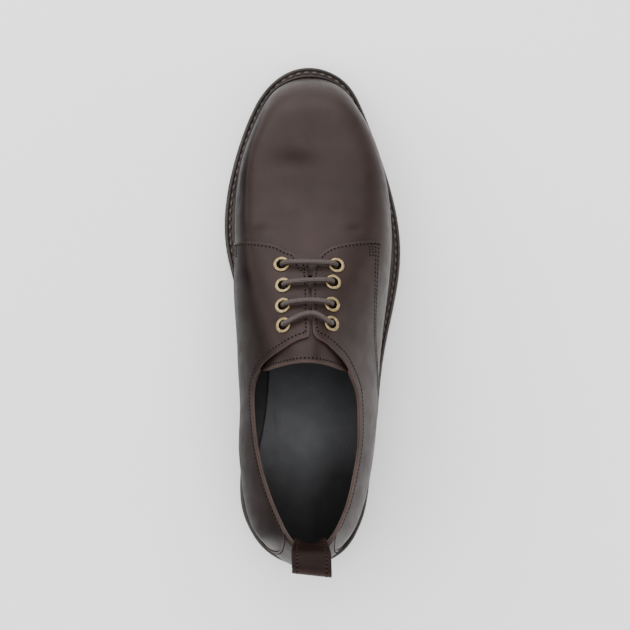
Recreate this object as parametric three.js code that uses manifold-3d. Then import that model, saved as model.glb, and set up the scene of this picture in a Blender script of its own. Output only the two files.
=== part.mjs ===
// Plain-toe derby lace-up shoe, right foot, standing empty on its sole.
// Millimetres. +X runs from heel to toe, +Y to the inner (medial) side, +Z up.
// Every form is worked out from the named sizes below and from short tables of shares of them.

import * as THREE from 'three';
import { mergeVertices } from 'three/addons/utils/BufferGeometryUtils.js';
import Module from 'manifold-3d';

const wasm = await Module();
wasm.setup();

// Main sizes of the last and the sole
const LAST_LENGTH = 258;
const BALL_WIDTH = 97.5;
const INSTEP_HEIGHT = 100;
const SOLE_BACK = 5.4;
const SOLE_FRONT = 7.8;
const SOLE_LENGTH = SOLE_BACK + LAST_LENGTH + SOLE_FRONT;
const SEAT_RISE = 19.5;
const TOE_SPRING = 9;
const SPRING_POWER = 1.9;
const BACK_CURVE = 80;

// Thickness of the leathers and the bottom pieces
const WALL = 1.6;
const QUARTER_STEP = 1.0;
const BACKSTAY_STEP = 0.8;
const OUTSOLE_THICK = 5.5;
const OUTSOLE_BEVEL = 0.8;
const WELT_THICK = 3.2;
const WELT_REVEAL = 0.9;
const WELT_REACH = 14;
const BEAD_WIDTH = 1.4;
const BEAD_HEIGHT = 1.1;
const BEAD_ROOT = 1;
const INSOLE_THICK = 3.5;
const INSOLE_PLAY = 0.5;
const TOP_PIECE_THICK = 6;
const HEEL_INSET = 0.6;
const HEEL_TAPER = 0.7;
const HEEL_BREAST = 0.267 * LAST_LENGTH;
const BREAST_RAKE = 3;
const SEAM = 0.3;

// Throat, facings, tongue
const SLOT_WIDTH = 1.5;
const SLOT_CENTRE = 2.9;
const FACING_LENGTH = 0.17 * LAST_LENGTH;
const FACING_FRONT = 0.653 * LAST_LENGTH;
const FACING_SPREAD = 0.38 * BALL_WIDTH;
const THROAT_DEPTH = 10;
const THROAT_LINE = FACING_FRONT - THROAT_DEPTH;
const TONGUE_THICK = 1.5;
const TONGUE_SINK = 0.3;
const TONGUE_TIP = 0.393 * LAST_LENGTH;
const TONGUE_WIDTH = 0.44 * BALL_WIDTH;
const TONGUE_CENTRE = 5.4;
const TONGUE_PLAY = 0.4;
const POCKET_OVERRUN = 6;

// Eyelets and lace
const EYELET_BORE = 4.8;
const EYELET_BARREL = 0.5;
const EYELET_FLANGE = 8.0;
const EYELET_ROLL = 0.8;
const EYELET_EDGE = 0.3;
const EYELET_DRILL = 12;
const LACE_DIAMETER = 2.8;
const LACE_CLEAR = 0.35;
const LACE_CREST = 0.4;

// Pull loop
const LOOP_WIDTH = 20;
const LOOP_THICK = 1.6;
const LOOP_SKEW = 2.6;
const LOOP_WRAP = 6.2;
const LOOP_CENTRE = 3.0;
const LOOP_TUCK = 0.36;

// Mesh steps
const STATIONS = 30;
const AROUND = 22;
const OUTLINE_STEPS = 16;
const BELOW_FEATHER = 5;
const FAR = 400;

// Reach of the cutting solids past the wall, inwards and outwards
const CUT_IN = 4;
const CUT_OUT = 9;
const MID_HEIGHT = 0.3 * INSTEP_HEIGHT;

// Rows of a table as records of its named columns
function named(columns, rows) {
  return rows.map((row) => Object.fromEntries(columns.map((column, i) => [column, row[i]])));
}

// Last sections, heel to toe, seen from behind. at: share of LAST_LENGTH. half, centre and axis:
// half width, its middle and the ridge's place, shares of BALL_WIDTH. widest: height of the widest
// line, crown and belly: reach above and below it, shares of INSTEP_HEIGHT. pinch: how far the
// walls draw in above the widest line. sweep: sideways run of the foot, share of BALL_WIDTH.
const LAST_SECTIONS = named(['at', 'half', 'centre', 'axis', 'widest', 'crown', 'belly', 'pinch', 'sweep'], [
  [0.000, 0.000, 0.039, 0.024, 0.450, 0.620, 0.550, 0.400, 0.000],
  [0.023, 0.135, 0.042, 0.022, 0.444, 0.610, 0.550, 0.520, 0.000],
  [0.054, 0.224, 0.045, 0.021, 0.438, 0.600, 0.550, 0.720, 0.000],
  [0.101, 0.286, 0.044, 0.021, 0.430, 0.580, 0.550, 0.760, 0.000],
  [0.163, 0.321, 0.035, 0.023, 0.422, 0.565, 0.540, 0.700, -0.010],
  [0.233, 0.345, 0.028, 0.031, 0.411, 0.570, 0.500, 0.600, -0.040],
  [0.310, 0.351, 0.014, 0.044, 0.400, 0.590, 0.460, 0.420, -0.100],
  [0.388, 0.364, 0.009, 0.048, 0.388, 0.575, 0.500, 0.380, -0.140],
  [0.465, 0.378, 0.003, 0.043, 0.370, 0.525, 0.560, 0.280, -0.140],
  [0.543, 0.399, -0.004, 0.034, 0.350, 0.445, 0.700, 0.100, -0.100],
  [0.620, 0.413, -0.011, 0.030, 0.330, 0.365, 0.780, -0.050, -0.040],
  [0.698, 0.415, -0.012, 0.027, 0.310, 0.295, 0.750, -0.160, 0.000],
  [0.775, 0.397, -0.009, 0.022, 0.290, 0.240, 0.680, -0.250, 0.000],
  [0.845, 0.355, -0.005, 0.014, 0.270, 0.212, 0.580, -0.300, 0.000],
  [0.899, 0.300, -0.004, 0.008, 0.243, 0.207, 0.500, -0.300, 0.000],
  [0.946, 0.236, 0.002, 0.003, 0.207, 0.198, 0.380, -0.260, 0.000],
  [0.977, 0.171, 0.000, 0.000, 0.178, 0.148, 0.240, -0.220, 0.000],
  [1.000, 0.000, -0.005, -0.005, 0.155, 0.000, 0.000, -0.200, 0.000],
]);

// Outsole outline. at: share of SOLE_LENGTH from the back. half and centre: shares of BALL_WIDTH.
const SOLE_SECTIONS = [
  { at: 0.000, half: 0.000, centre: 0.026 },
  { at: 0.016, half: 0.165, centre: 0.026 },
  { at: 0.034, half: 0.230, centre: 0.028 },
  { at: 0.065, half: 0.291, centre: 0.032 },
  { at: 0.105, half: 0.337, centre: 0.035 },
  { at: 0.145, half: 0.356, centre: 0.033 },
  { at: 0.208, half: 0.364, centre: 0.021 },
  { at: 0.282, half: 0.379, centre: 0.007 },
  { at: 0.356, half: 0.382, centre: -0.014 },
  { at: 0.430, half: 0.397, centre: -0.032 },
  { at: 0.504, half: 0.431, centre: -0.045 },
  { at: 0.560, half: 0.462, centre: -0.045 },
  { at: 0.626, half: 0.492, centre: -0.031 },
  { at: 0.686, half: 0.493, centre: -0.018 },
  { at: 0.746, half: 0.468, centre: -0.008 },
  { at: 0.827, half: 0.407, centre: 0.001 },
  { at: 0.908, half: 0.321, centre: 0.004 },
  { at: 0.949, half: 0.259, centre: 0.000 },
  { at: 0.983, half: 0.161, centre: -0.003 },
  { at: 1.000, half: 0.000, centre: 0.000 },
];

// Topline. at: share of LAST_LENGTH. medial and lateral: height, shares of INSTEP_HEIGHT.
const TOPLINE = [
  { at: 0.000, medial: 0.860, lateral: 0.860 },
  { at: 0.050, medial: 0.824, lateral: 0.805 },
  { at: 0.117, medial: 0.770, lateral: 0.742 },
  { at: 0.190, medial: 0.708, lateral: 0.708 },
  { at: 0.260, medial: 0.676, lateral: 0.686 },
  { at: 0.320, medial: 0.666, lateral: 0.704 },
  { at: 0.364, medial: 0.683, lateral: 0.730 },
  { at: 0.391, medial: 0.720, lateral: 0.770 },
  { at: 0.418, medial: 0.787, lateral: 0.812 },
  { at: 0.440, medial: 0.865, lateral: 0.861 },
  { at: 0.462, medial: 0.905, lateral: 0.895 },
  { at: 0.484, medial: 0.930, lateral: 0.930 },
];

// Front edge of the facings in plan. medial and lateral: distance from the slot's middle, shares
// of FACING_SPREAD. back: distance behind the foremost line, share of FACING_LENGTH.
const FACING_EDGE = [
  { medial: 0.020, lateral: 0.020, back: 0.560 },
  { medial: 0.028, lateral: 0.038, back: 0.430 },
  { medial: 0.080, lateral: 0.070, back: 0.330 },
  { medial: 0.165, lateral: 0.118, back: 0.235 },
  { medial: 0.285, lateral: 0.200, back: 0.150 },
  { medial: 0.420, lateral: 0.330, back: 0.088 },
  { medial: 0.587, lateral: 0.527, back: 0.045 },
  { medial: 0.770, lateral: 0.740, back: 0.015 },
  { medial: 1.000, lateral: 1.000, back: 0.000 },
];

// Side seam of the quarters. at: share of LAST_LENGTH. medial, lateral: heights, shares of
// INSTEP_HEIGHT.
const SIDE_SEAM = [
  { at: 0.200, medial: 0.10, lateral: 0.10 },
  { at: 0.262, medial: 0.23, lateral: 0.25 },
  { at: 0.322, medial: 0.30, lateral: 0.40 },
  { at: 0.376, medial: 0.34, lateral: 0.47 },
  { at: 0.473, medial: 0.37, lateral: 0.56 },
  { at: 0.573, medial: 0.40, lateral: 0.60 },
  { at: 0.653, medial: 0.43, lateral: 0.57 },
];

// Where the side seam and the backstay reach the welt, shares of LAST_LENGTH
const SEAM_FOOT = 0.29;
const BACKSTAY_FOOT = 0.07;
const SEAM_FADE = 0.05;

// Backstay half widths. up: share of INSTEP_HEIGHT. half: share of BALL_WIDTH.
const BACKSTAY = [
  { up: 0.10, half: 0.235 },
  { up: 0.45, half: 0.185 },
  { up: 0.70, half: 0.125 },
  { up: 1.00, half: 0.110 },
];

// Eyelets. medialAt and lateralAt: shares of LAST_LENGTH. medial and lateral: distance from the
// slot, shares of FACING_SPREAD. bow: how far the lace bows towards the toe, in lace diameters.
const EYELETS = [
  { medialAt: 0.601, medial: 0.375, lateralAt: 0.599, lateral: 0.365, bow: 0.0 },
  { medialAt: 0.559, medial: 0.351, lateralAt: 0.565, lateral: 0.308, bow: 0.1 },
  { medialAt: 0.519, medial: 0.349, lateralAt: 0.521, lateral: 0.276, bow: 0.3 },
  { medialAt: 0.481, medial: 0.336, lateralAt: 0.484, lateral: 0.253, bow: 1.4 },
];

// Pull loop in side view, from inside the collar over the fold to the backstay. up: share of
// INSTEP_HEIGHT. wall: 0 inside the wall, 1 outside it. slack: how far the strap stands ahead of
// the wall, share of LOOP_WIDTH. curl: its wrap round the heel, 1 on the shoe and 0 at the fold.
const LOOP_PATH = [
  { up: 0.740, wall: 0.0, slack: 0.060, curl: 1.00 },
  { up: 0.790, wall: 0.0, slack: 0.080, curl: 1.00 },
  { up: 0.835, wall: 0.0, slack: 0.120, curl: 0.88 },
  { up: 0.870, wall: 0.0, slack: 0.075, curl: 0.50 },
  { up: 0.905, wall: 0.0, slack: 0.010, curl: 0.20 },
  { up: 0.945, wall: 0.2, slack: -0.010, curl: 0.00 },
  { up: 0.980, wall: 0.5, slack: -0.130, curl: 0.00 },
  { up: 1.000, wall: 0.7, slack: -0.250, curl: 0.00 },
  { up: 0.980, wall: 0.8, slack: -0.345, curl: 0.00 },
  { up: 0.930, wall: 1.0, slack: -0.235, curl: 0.10 },
  { up: 0.870, wall: 1.0, slack: -0.170, curl: 0.28 },
  { up: 0.790, wall: 1.0, slack: -0.061, curl: 0.42 },
  { up: 0.710, wall: 1.0, slack: -0.031, curl: 0.42 },
  { up: 0.640, wall: 1.0, slack: -0.022, curl: 0.40 },
];

// Tongue edge. back: share of the way from the throat to the tip. half: share of its half width.
// Rows behind TONGUE_FULL move with the tip.
const TONGUE_FULL = 0.85;
const TONGUE_EDGE = [
  { back: 0.000, half: 0.680 },
  { back: 0.400, half: 0.900 },
  { back: 0.750, half: 1.000 },
  { back: 0.965, half: 1.000 },
  { back: 1.000, half: 0.950 },
  { back: 0.980, half: 0.700 },
  { back: 0.935, half: 0.350 },
  { back: 0.920, half: 0.120 },
];

// Lace path out of an eyelet. run: towards the other eyelet, share of LACE_DIAMETER.
// rise: share of the way from the facing up to the bar.
const LACE_RISE = [
  { run: 0.07, rise: 0.0 },
  { run: 0.11, rise: 0.5 },
  { run: 0.43, rise: 0.8 },
  { run: 1.04, rise: 1.0 },
];

// Natural cubic spline through a table's rows, for one column
function spline(rows, key, column, scale, power = 1) {
  const n = rows.length;
  const x = rows.map((row) => row[key]);
  const y = rows.map((row) => Math.pow(row[column], power));
  const second = new Array(n).fill(0);
  const work = new Array(n).fill(0);
  for (let i = 1; i < n - 1; i++) {
    const ratio = (x[i] - x[i - 1]) / (x[i + 1] - x[i - 1]);
    const pivot = ratio * second[i - 1] + 2;
    const slopes = (y[i + 1] - y[i]) / (x[i + 1] - x[i]) - (y[i] - y[i - 1]) / (x[i] - x[i - 1]);
    second[i] = (ratio - 1) / pivot;
    work[i] = (6 * slopes / (x[i + 1] - x[i - 1]) - ratio * work[i - 1]) / pivot;
  }
  for (let i = n - 2; i >= 0; i--) {
    second[i] = second[i] * second[i + 1] + work[i];
  }
  return (at) => {
    const t = Math.min(Math.max(at, x[0]), x[n - 1]);
    let i = 0;
    while (i < n - 2 && t > x[i + 1]) {
      i++;
    }
    const h = x[i + 1] - x[i];
    const a = (x[i + 1] - t) / h;
    const b = 1 - a;
    const bend = ((a * a * a - a) * second[i] + (b * b * b - b) * second[i + 1]) * h * h / 6;
    const value = a * y[i] + b * y[i + 1] + bend;
    return scale * (power === 1 ? value : Math.pow(Math.max(value, 0), 1 / power));
  };
}

function smooth(t) {
  const u = Math.min(Math.max(t, 0), 1);
  return u * u * (3 - 2 * u);
}

// Bottom of the outsole: flat under the ball, up to the seat behind it, toe spring before it
const TREAD_BACK = 0.575 * LAST_LENGTH;
const TREAD_FRONT = 0.82 * LAST_LENGTH;
const SEAT_FRONT = 0.19 * LAST_LENGTH;
const SOLE_TIP = SOLE_LENGTH - SOLE_BACK;

function soleRise(x) {
  const spring = Math.max(x - TREAD_FRONT, 0) / (SOLE_TIP - TREAD_FRONT);
  const arch = SEAT_RISE * smooth((TREAD_BACK - x) / (TREAD_BACK - SEAT_FRONT));
  return arch + TOE_SPRING * Math.pow(spring, SPRING_POWER);
}

function outsoleTop(x) {
  return soleRise(x) + OUTSOLE_THICK;
}

function weltTop(x) {
  return outsoleTop(x) + SEAM + WELT_THICK;
}

function feather(x) {
  return weltTop(x) + SEAM;
}

// Surface of the last. turn runs from 0 at the heel to PI at the toe, so that the stations
// close up at both ends, and phi from the medial foot over the ridge to the lateral foot.
const last = {
  half: spline(LAST_SECTIONS, 'at', 'half', BALL_WIDTH, 2),
  centre: spline(LAST_SECTIONS, 'at', 'centre', BALL_WIDTH),
  axis: spline(LAST_SECTIONS, 'at', 'axis', BALL_WIDTH),
  widest: spline(LAST_SECTIONS, 'at', 'widest', INSTEP_HEIGHT),
  crown: spline(LAST_SECTIONS, 'at', 'crown', INSTEP_HEIGHT, 2),
  belly: spline(LAST_SECTIONS, 'at', 'belly', INSTEP_HEIGHT, 2),
  pinch: spline(LAST_SECTIONS, 'at', 'pinch', 1),
  sweep: spline(LAST_SECTIONS, 'at', 'sweep', BALL_WIDTH),
};
const BULGE_HEIGHT = LAST_SECTIONS[0].widest * INSTEP_HEIGHT;
const LEAN_REACH = 0.25;

function section(at) {
  return {
    at,
    half: last.half(at),
    centre: last.centre(at),
    axis: last.axis(at),
    widest: last.widest(at),
    crown: last.crown(at),
    belly: last.belly(at),
    pinch: last.pinch(at),
    sweep: last.sweep(at),
  };
}

// The back line leans in above and below the bulge
function backLean(z) {
  return (z - BULGE_HEIGHT) * (z - BULGE_HEIGHT) / (2 * BACK_CURVE);
}

function lastPoint(cut, phi) {
  const s = Math.sin(phi);
  const c = Math.cos(phi);
  const z = cut.widest + (cut.crown + cut.belly) / 2 * s + (cut.crown - cut.belly) / 2 * s * s;
  const across = cut.half * c * (1 - cut.pinch * s * s) + (cut.centre - cut.axis) * c * c;
  const y = cut.axis + across + cut.sweep * (s * s - s) / 2;
  const x = cut.at * LAST_LENGTH + (1 - smooth(cut.at / LEAN_REACH)) * backLean(z);
  return new THREE.Vector3(x, y, z);
}

// Angle at which a section reaches a height
function angleAt(cut, z) {
  const a = (cut.crown + cut.belly) / 2;
  const b = (cut.crown - cut.belly) / 2;
  const up = z - cut.widest;
  if (a < 1e-6) {
    return up > 0 ? Math.PI / 2 : -Math.PI / 2;
  }
  const root = Math.sqrt(Math.max(a * a + 4 * b * up, 0));
  const s = 2 * up / (a + root);
  return Math.asin(Math.min(Math.max(s, -1), 1));
}

function atTurn(turn) {
  return (1 - Math.cos(turn)) / 2;
}

function lastNormal(turn, phi) {
  const step = 1e-3;
  if (turn > Math.PI - 1e-6) {
    return new THREE.Vector3(1, 0, 0);
  }
  if (turn < 1e-6) {
    const z = lastPoint(section(0), phi).z;
    return new THREE.Vector3(-1, 0, (z - BULGE_HEIGHT) / BACK_CURVE).normalize();
  }
  const before = section(atTurn(turn - step));
  const after = section(atTurn(turn + step));
  const here = section(atTurn(turn));
  const along = lastPoint(after, phi).sub(lastPoint(before, phi));
  const round = lastPoint(here, phi + step).sub(lastPoint(here, phi - step));
  return along.cross(round).normalize().negate();
}

function offsetPoint(turn, phi, out) {
  return lastPoint(section(atTurn(turn)), phi).addScaledVector(lastNormal(turn, phi), out);
}

// Closed triangle meshes as manifold solids, and back
function solidFrom(points, faces) {
  const geometry = new THREE.BufferGeometry();
  const flat = points.flatMap((p) => [p.x, p.y, p.z]);
  geometry.setAttribute('position', new THREE.Float32BufferAttribute(flat, 3));
  geometry.setIndex(faces.flat());
  return solidOf(geometry);
}

function solidOf(geometry) {
  const bare = geometry.clone();
  bare.deleteAttribute('normal');
  bare.deleteAttribute('uv');
  const merged = mergeVertices(bare, 1e-4);
  const index = merged.index.array;
  const kept = [];
  for (let i = 0; i < index.length; i += 3) {
    const [a, b, c] = [index[i], index[i + 1], index[i + 2]];
    if (a !== b && b !== c && c !== a) {
      kept.push(a, b, c);
    }
  }
  const mesh = new wasm.Mesh({
    numProp: 3,
    vertProperties: new Float32Array(merged.attributes.position.array),
    triVerts: new Uint32Array(kept),
  });
  return new wasm.Manifold(mesh);
}

function geometryOf(solid) {
  const mesh = solid.getMesh();
  const geometry = new THREE.BufferGeometry();
  const corners = new Float32Array(mesh.vertProperties);
  geometry.setAttribute('position', new THREE.BufferAttribute(corners, 3));
  geometry.setIndex(new THREE.BufferAttribute(new Uint32Array(mesh.triVerts), 1));
  geometry.computeVertexNormals();
  return geometry;
}

function unite(...solids) {
  return solids.reduce((sum, solid) => sum.add(solid));
}

// Solid bounded by the last's surface moved out by a distance, closed well below the feather
function lastSolid(out) {
  const points = [];
  const faces = [];
  for (let i = 0; i <= STATIONS; i++) {
    const turn = Math.PI * i / STATIONS;
    const cut = section(atTurn(turn));
    const floor = feather(cut.at * LAST_LENGTH) - BELOW_FEATHER;
    const foot = angleAt(cut, floor);
    for (let j = 0; j <= AROUND; j++) {
      const phi = foot + (Math.PI - 2 * foot) * j / AROUND;
      points.push(offsetPoint(turn, phi, out));
    }
  }
  const row = AROUND + 1;
  for (let i = 0; i < STATIONS; i++) {
    for (let j = 0; j < AROUND; j++) {
      const a = i * row + j;
      faces.push([a, a + row + 1, a + row], [a, a + 1, a + row + 1]);
    }
    const m = i * row;
    const l = m + AROUND;
    faces.push([m, l + row, l], [m, m + row, l + row]);
  }
  return solidFrom(points, faces);
}

// Prism over a plan outline, and prism across the shoe over a side outline
function planPrism(outline, low, high) {
  const shape = new THREE.Shape(outline.map(([x, y]) => new THREE.Vector2(x, y)));
  const geometry = new THREE.ExtrudeGeometry(shape, { depth: high - low, bevelEnabled: false });
  geometry.translate(0, 0, low);
  return solidOf(geometry);
}

function sidePrism(outline, right, left) {
  const shape = new THREE.Shape(outline.map(([x, z]) => new THREE.Vector2(x, z)));
  const geometry = new THREE.ExtrudeGeometry(shape, { depth: left - right, bevelEnabled: false });
  geometry.rotateX(Math.PI / 2);
  geometry.translate(0, left, 0);
  return solidOf(geometry);
}

// Outlines as paired points: back end, then medial and lateral points, then front end
function soleOutline(fromX, toX) {
  const half = spline(SOLE_SECTIONS, 'at', 'half', BALL_WIDTH, 2);
  const centre = spline(SOLE_SECTIONS, 'at', 'centre', BALL_WIDTH);
  const turnAt = (x) => Math.acos(Math.min(Math.max(1 - 2 * (x + SOLE_BACK) / SOLE_LENGTH, -1), 1));
  const [first, final] = [turnAt(fromX), turnAt(toX)];
  const pairs = [];
  for (let i = 0; i <= OUTLINE_STEPS * 2; i++) {
    const at = atTurn(first + (final - first) * i / (OUTLINE_STEPS * 2));
    const x = at * SOLE_LENGTH - SOLE_BACK;
    pairs.push({ x, medial: centre(at) + half(at), lateral: centre(at) - half(at) });
  }
  return pairs;
}

function footOutline() {
  const pairs = [];
  for (let i = 0; i <= OUTLINE_STEPS * 2; i++) {
    const turn = Math.PI * i / (OUTLINE_STEPS * 2);
    const cut = section(atTurn(turn));
    const foot = angleAt(cut, feather(cut.at * LAST_LENGTH));
    const medial = lastPoint(cut, foot);
    const lateral = lastPoint(cut, Math.PI - foot);
    pairs.push({ x: medial.x, medial: medial.y, lateral: lateral.y });
  }
  return pairs;
}

// Paired points as one loop, moved in by a distance
function outlineLoop(pairs, inset) {
  const loop = pairs.map((pair) => new THREE.Vector2(pair.x, pair.medial));
  for (let i = pairs.length - 2; i > 0; i--) {
    loop.push(new THREE.Vector2(pairs[i].x, pairs[i].lateral));
  }
  return loop.map((point, i) => {
    const before = loop[(i + loop.length - 1) % loop.length];
    const after = loop[(i + 1) % loop.length];
    const along = after.clone().sub(before).normalize();
    const move = typeof inset === 'function' ? inset(point.x) : inset;
    return new THREE.Vector2(point.x + along.y * move, point.y - along.x * move);
  });
}

// Plate whose edge runs through layers of an outline loop, each with its inset and height
function plate(pairs, layers) {
  const loops = layers.map((layer) => outlineLoop(pairs, layer.inset));
  const count = loops[0].length;
  const points = [];
  loops.forEach((loop, k) => {
    loop.forEach((p) => points.push(new THREE.Vector3(p.x, p.y, layers[k].height(p.x))));
  });
  const faces = [];
  for (let k = 0; k < loops.length - 1; k++) {
    for (let i = 0; i < count; i++) {
      const j = (i + 1) % count;
      const a = k * count;
      const b = a + count;
      faces.push([a + i, b + i, b + j], [a + i, b + j, a + j]);
    }
  }
  const top = (loops.length - 1) * count;
  const ends = pairs.length - 1;
  for (let i = 0; i < ends; i++) {
    const [m, n] = [i, i + 1];
    const [l, o] = [(count - i) % count, (count - i - 1) % count];
    faces.push([m, n, o], [m, o, l]);
    faces.push([top + m, top + o, top + n], [top + m, top + l, top + o]);
  }
  return solidFrom(points, faces);
}

// Ring swept along an outline loop: a closed profile of inset and height
function ring(pairs, profile) {
  const loops = profile.map((corner) => outlineLoop(pairs, corner.inset));
  const count = loops[0].length;
  const points = [];
  loops.forEach((loop, k) => {
    loop.forEach((p) => points.push(new THREE.Vector3(p.x, p.y, profile[k].height(p.x))));
  });
  const faces = [];
  for (let k = 0; k < loops.length; k++) {
    const a = k * count;
    const b = ((k + 1) % loops.length) * count;
    for (let i = 0; i < count; i++) {
      const j = (i + 1) % count;
      faces.push([a + i, b + i, b + j], [a + i, b + j, a + j]);
    }
  }
  return solidFrom(points, faces);
}

// Outsole, heel, welt and insole
function makeOutsole() {
  const pairs = soleOutline(-SOLE_BACK, SOLE_TIP);
  return plate(pairs, [
    { inset: OUTSOLE_BEVEL, height: soleRise },
    { inset: 0, height: (x) => soleRise(x) + OUTSOLE_BEVEL },
    { inset: 0, height: outsoleTop },
  ]);
}

function makeHeel(low, high, drawIn) {
  const pairs = soleOutline(-SOLE_BACK, HEEL_BREAST + BREAST_RAKE);
  const body = plate(pairs, [
    { inset: HEEL_INSET + drawIn + HEEL_TAPER / 2, height: low },
    { inset: HEEL_INSET + drawIn, height: high },
  ]);
  const breast = (z) => HEEL_BREAST - BREAST_RAKE * (1 - z / SEAT_RISE);
  const [under, over] = [-SEAT_RISE, 2 * SEAT_RISE];
  const front = [[breast(under), under], [FAR, under], [FAR, over], [breast(over), over]];
  return body.subtract(sidePrism(front, -FAR, FAR));
}

// How far the upper's foot reaches outside the last, with its clearance to the bead
function upperFoot(x) {
  const quarter = 1 - smooth((x / LAST_LENGTH - SEAM_FOOT) / SEAM_FADE);
  const backstay = 1 - smooth((x / LAST_LENGTH - BACKSTAY_FOOT) / SEAM_FADE);
  return WALL + QUARTER_STEP * quarter + BACKSTAY_STEP * backstay + 3 * SEAM;
}

function makeWelt() {
  const pairs = soleOutline(-SOLE_BACK, SOLE_TIP);
  const low = (x) => outsoleTop(x) + SEAM;
  const strip = ring(pairs, [
    { inset: WELT_REVEAL, height: low },
    { inset: WELT_REVEAL, height: weltTop },
    { inset: WELT_REACH, height: weltTop },
    { inset: WELT_REACH, height: low },
  ]);
  const crest = (x) => weltTop(x) + BEAD_HEIGHT;
  const sunk = (x) => weltTop(x) - BEAD_ROOT;
  const bead = ring(footOutline(), [
    { inset: (x) => -upperFoot(x) - BEAD_WIDTH, height: sunk },
    { inset: (x) => -upperFoot(x) - BEAD_WIDTH, height: (x) => crest(x) - BEAD_HEIGHT / 2 },
    { inset: (x) => -upperFoot(x) - BEAD_WIDTH / 2, height: crest },
    { inset: (x) => -upperFoot(x), height: crest },
    { inset: (x) => -upperFoot(x), height: sunk },
  ]);
  return strip.add(bead);
}

// Slab across the shoe between two heights over the feather
function bottomSlab(low, high) {
  const reach = 10;
  const run = (i) => -SOLE_BACK - reach + (SOLE_LENGTH + 2 * reach) * i / (OUTLINE_STEPS * 2);
  const outline = [];
  for (let i = 0; i <= OUTLINE_STEPS * 2; i++) {
    outline.push([run(i), feather(run(i)) + high]);
  }
  for (let i = OUTLINE_STEPS * 2; i >= 0; i--) {
    outline.push([run(i), feather(run(i)) + low]);
  }
  return sidePrism(outline, -FAR, FAR);
}

function makeInsole() {
  const flange = lastSolid(-INSOLE_PLAY).intersect(bottomSlab(SEAM, INSOLE_THICK));
  const plug = plate(soleOutline(-SOLE_BACK, SOLE_TIP), [
    { inset: WELT_REACH + SEAM, height: (x) => outsoleTop(x) + SEAM },
    { inset: WELT_REACH + SEAM, height: (x) => feather(x) + INSOLE_THICK / 2 },
  ]);
  return flange.add(plug);
}

// Everything above the topline, ruled along the last's normals
function toplineCutter() {
  const medial = spline(TOPLINE, 'at', 'medial', INSTEP_HEIGHT);
  const lateral = spline(TOPLINE, 'at', 'lateral', INSTEP_HEIGHT);
  const front = TOPLINE[TOPLINE.length - 1].at;
  const steps = 26;
  const rings = [-CUT_IN, CUT_OUT].map((out) => {
    const near = [];
    const far = [];
    for (let i = 0; i <= steps; i++) {
      const at = front * atTurn(Math.PI * i / steps);
      const turn = Math.acos(1 - 2 * at);
      const cut = section(at);
      near.push(offsetPoint(turn, angleAt(cut, medial(at)), out));
      far.push(offsetPoint(turn, Math.PI - angleAt(cut, lateral(at)), out));
    }
    return { near, far };
  });
  rings.push({
    near: rings[1].near.map((p) => new THREE.Vector3(p.x, p.y, FAR)),
    far: rings[1].far.map((p) => new THREE.Vector3(p.x, p.y, FAR)),
  });
  const points = [];
  const count = 2 * steps;
  rings.forEach(({ near, far }) => {
    points.push(...near, ...far.slice(1, -1).reverse());
  });
  const faces = [];
  for (let k = 0; k < 2; k++) {
    for (let i = 0; i < count; i++) {
      const j = (i + 1) % count;
      const a = k * count;
      const b = a + count;
      faces.push([a + i, b + i, b + j], [a + i, b + j, a + j]);
    }
  }
  for (let i = 0; i < steps; i++) {
    const [m, n] = [i, i + 1];
    const [l, o] = [(count - i) % count, (count - i - 1) % count];
    faces.push([m, n, o], [m, o, l]);
    const top = 2 * count;
    faces.push([top + m, top + o, top + n], [top + m, top + l, top + o]);
  }
  return solidFrom(points, faces);
}

// The slot runs out into the open collar
const SLOT_OVERRUN = 0.06;
const SLOT_BACK = (TOPLINE[TOPLINE.length - 1].at - SLOT_OVERRUN) * LAST_LENGTH;

function facingFront(side, off) {
  const back = spline(FACING_EDGE, side, 'back', FACING_LENGTH);
  return FACING_FRONT - back(off / FACING_SPREAD);
}

function quarterRegion() {
  const steps = 18;
  const outline = [[-FAR, FAR]];
  const open = FACING_EDGE[0].medial * FACING_SPREAD;
  const edge = (side) => {
    const spots = [];
    for (let i = 0; i <= steps; i++) {
      const off = open + (FACING_SPREAD - open) * (1 - Math.cos(Math.PI / 2 * i / steps));
      spots.push([facingFront(side, off), off]);
    }
    return spots;
  };
  outline.push([FACING_FRONT, FAR]);
  edge('medial').reverse().forEach(([x, off]) => outline.push([x, SLOT_CENTRE + off]));
  outline.push([SLOT_BACK, SLOT_CENTRE + SLOT_WIDTH / 2], [SLOT_BACK, SLOT_CENTRE - SLOT_WIDTH / 2]);
  edge('lateral').forEach(([x, off]) => outline.push([x, SLOT_CENTRE - off]));
  outline.push([FACING_FRONT, -FAR], [-FAR, -FAR]);
  const plan = planPrism(outline, -FAR, FAR);
  const side = ['medial', 'lateral'].map((column) => {
    const seam = spline(SIDE_SEAM, 'at', column, INSTEP_HEIGHT);
    const profile = [[-FAR, -FAR], [SIDE_SEAM[0].at * LAST_LENGTH, -FAR]];
    for (let i = 0; i <= steps; i++) {
      const first = SIDE_SEAM[0].at;
      const at = first + (SIDE_SEAM[SIDE_SEAM.length - 1].at - first) * i / steps;
      profile.push([at * LAST_LENGTH, seam(at)]);
    }
    profile.push([FAR, profile[profile.length - 1][1]], [FAR, FAR], [-FAR, FAR]);
    return column === 'medial' ? sidePrism(profile, 0, FAR) : sidePrism(profile, -FAR, 0);
  });
  return plan.intersect(unite(...side));
}

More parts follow.
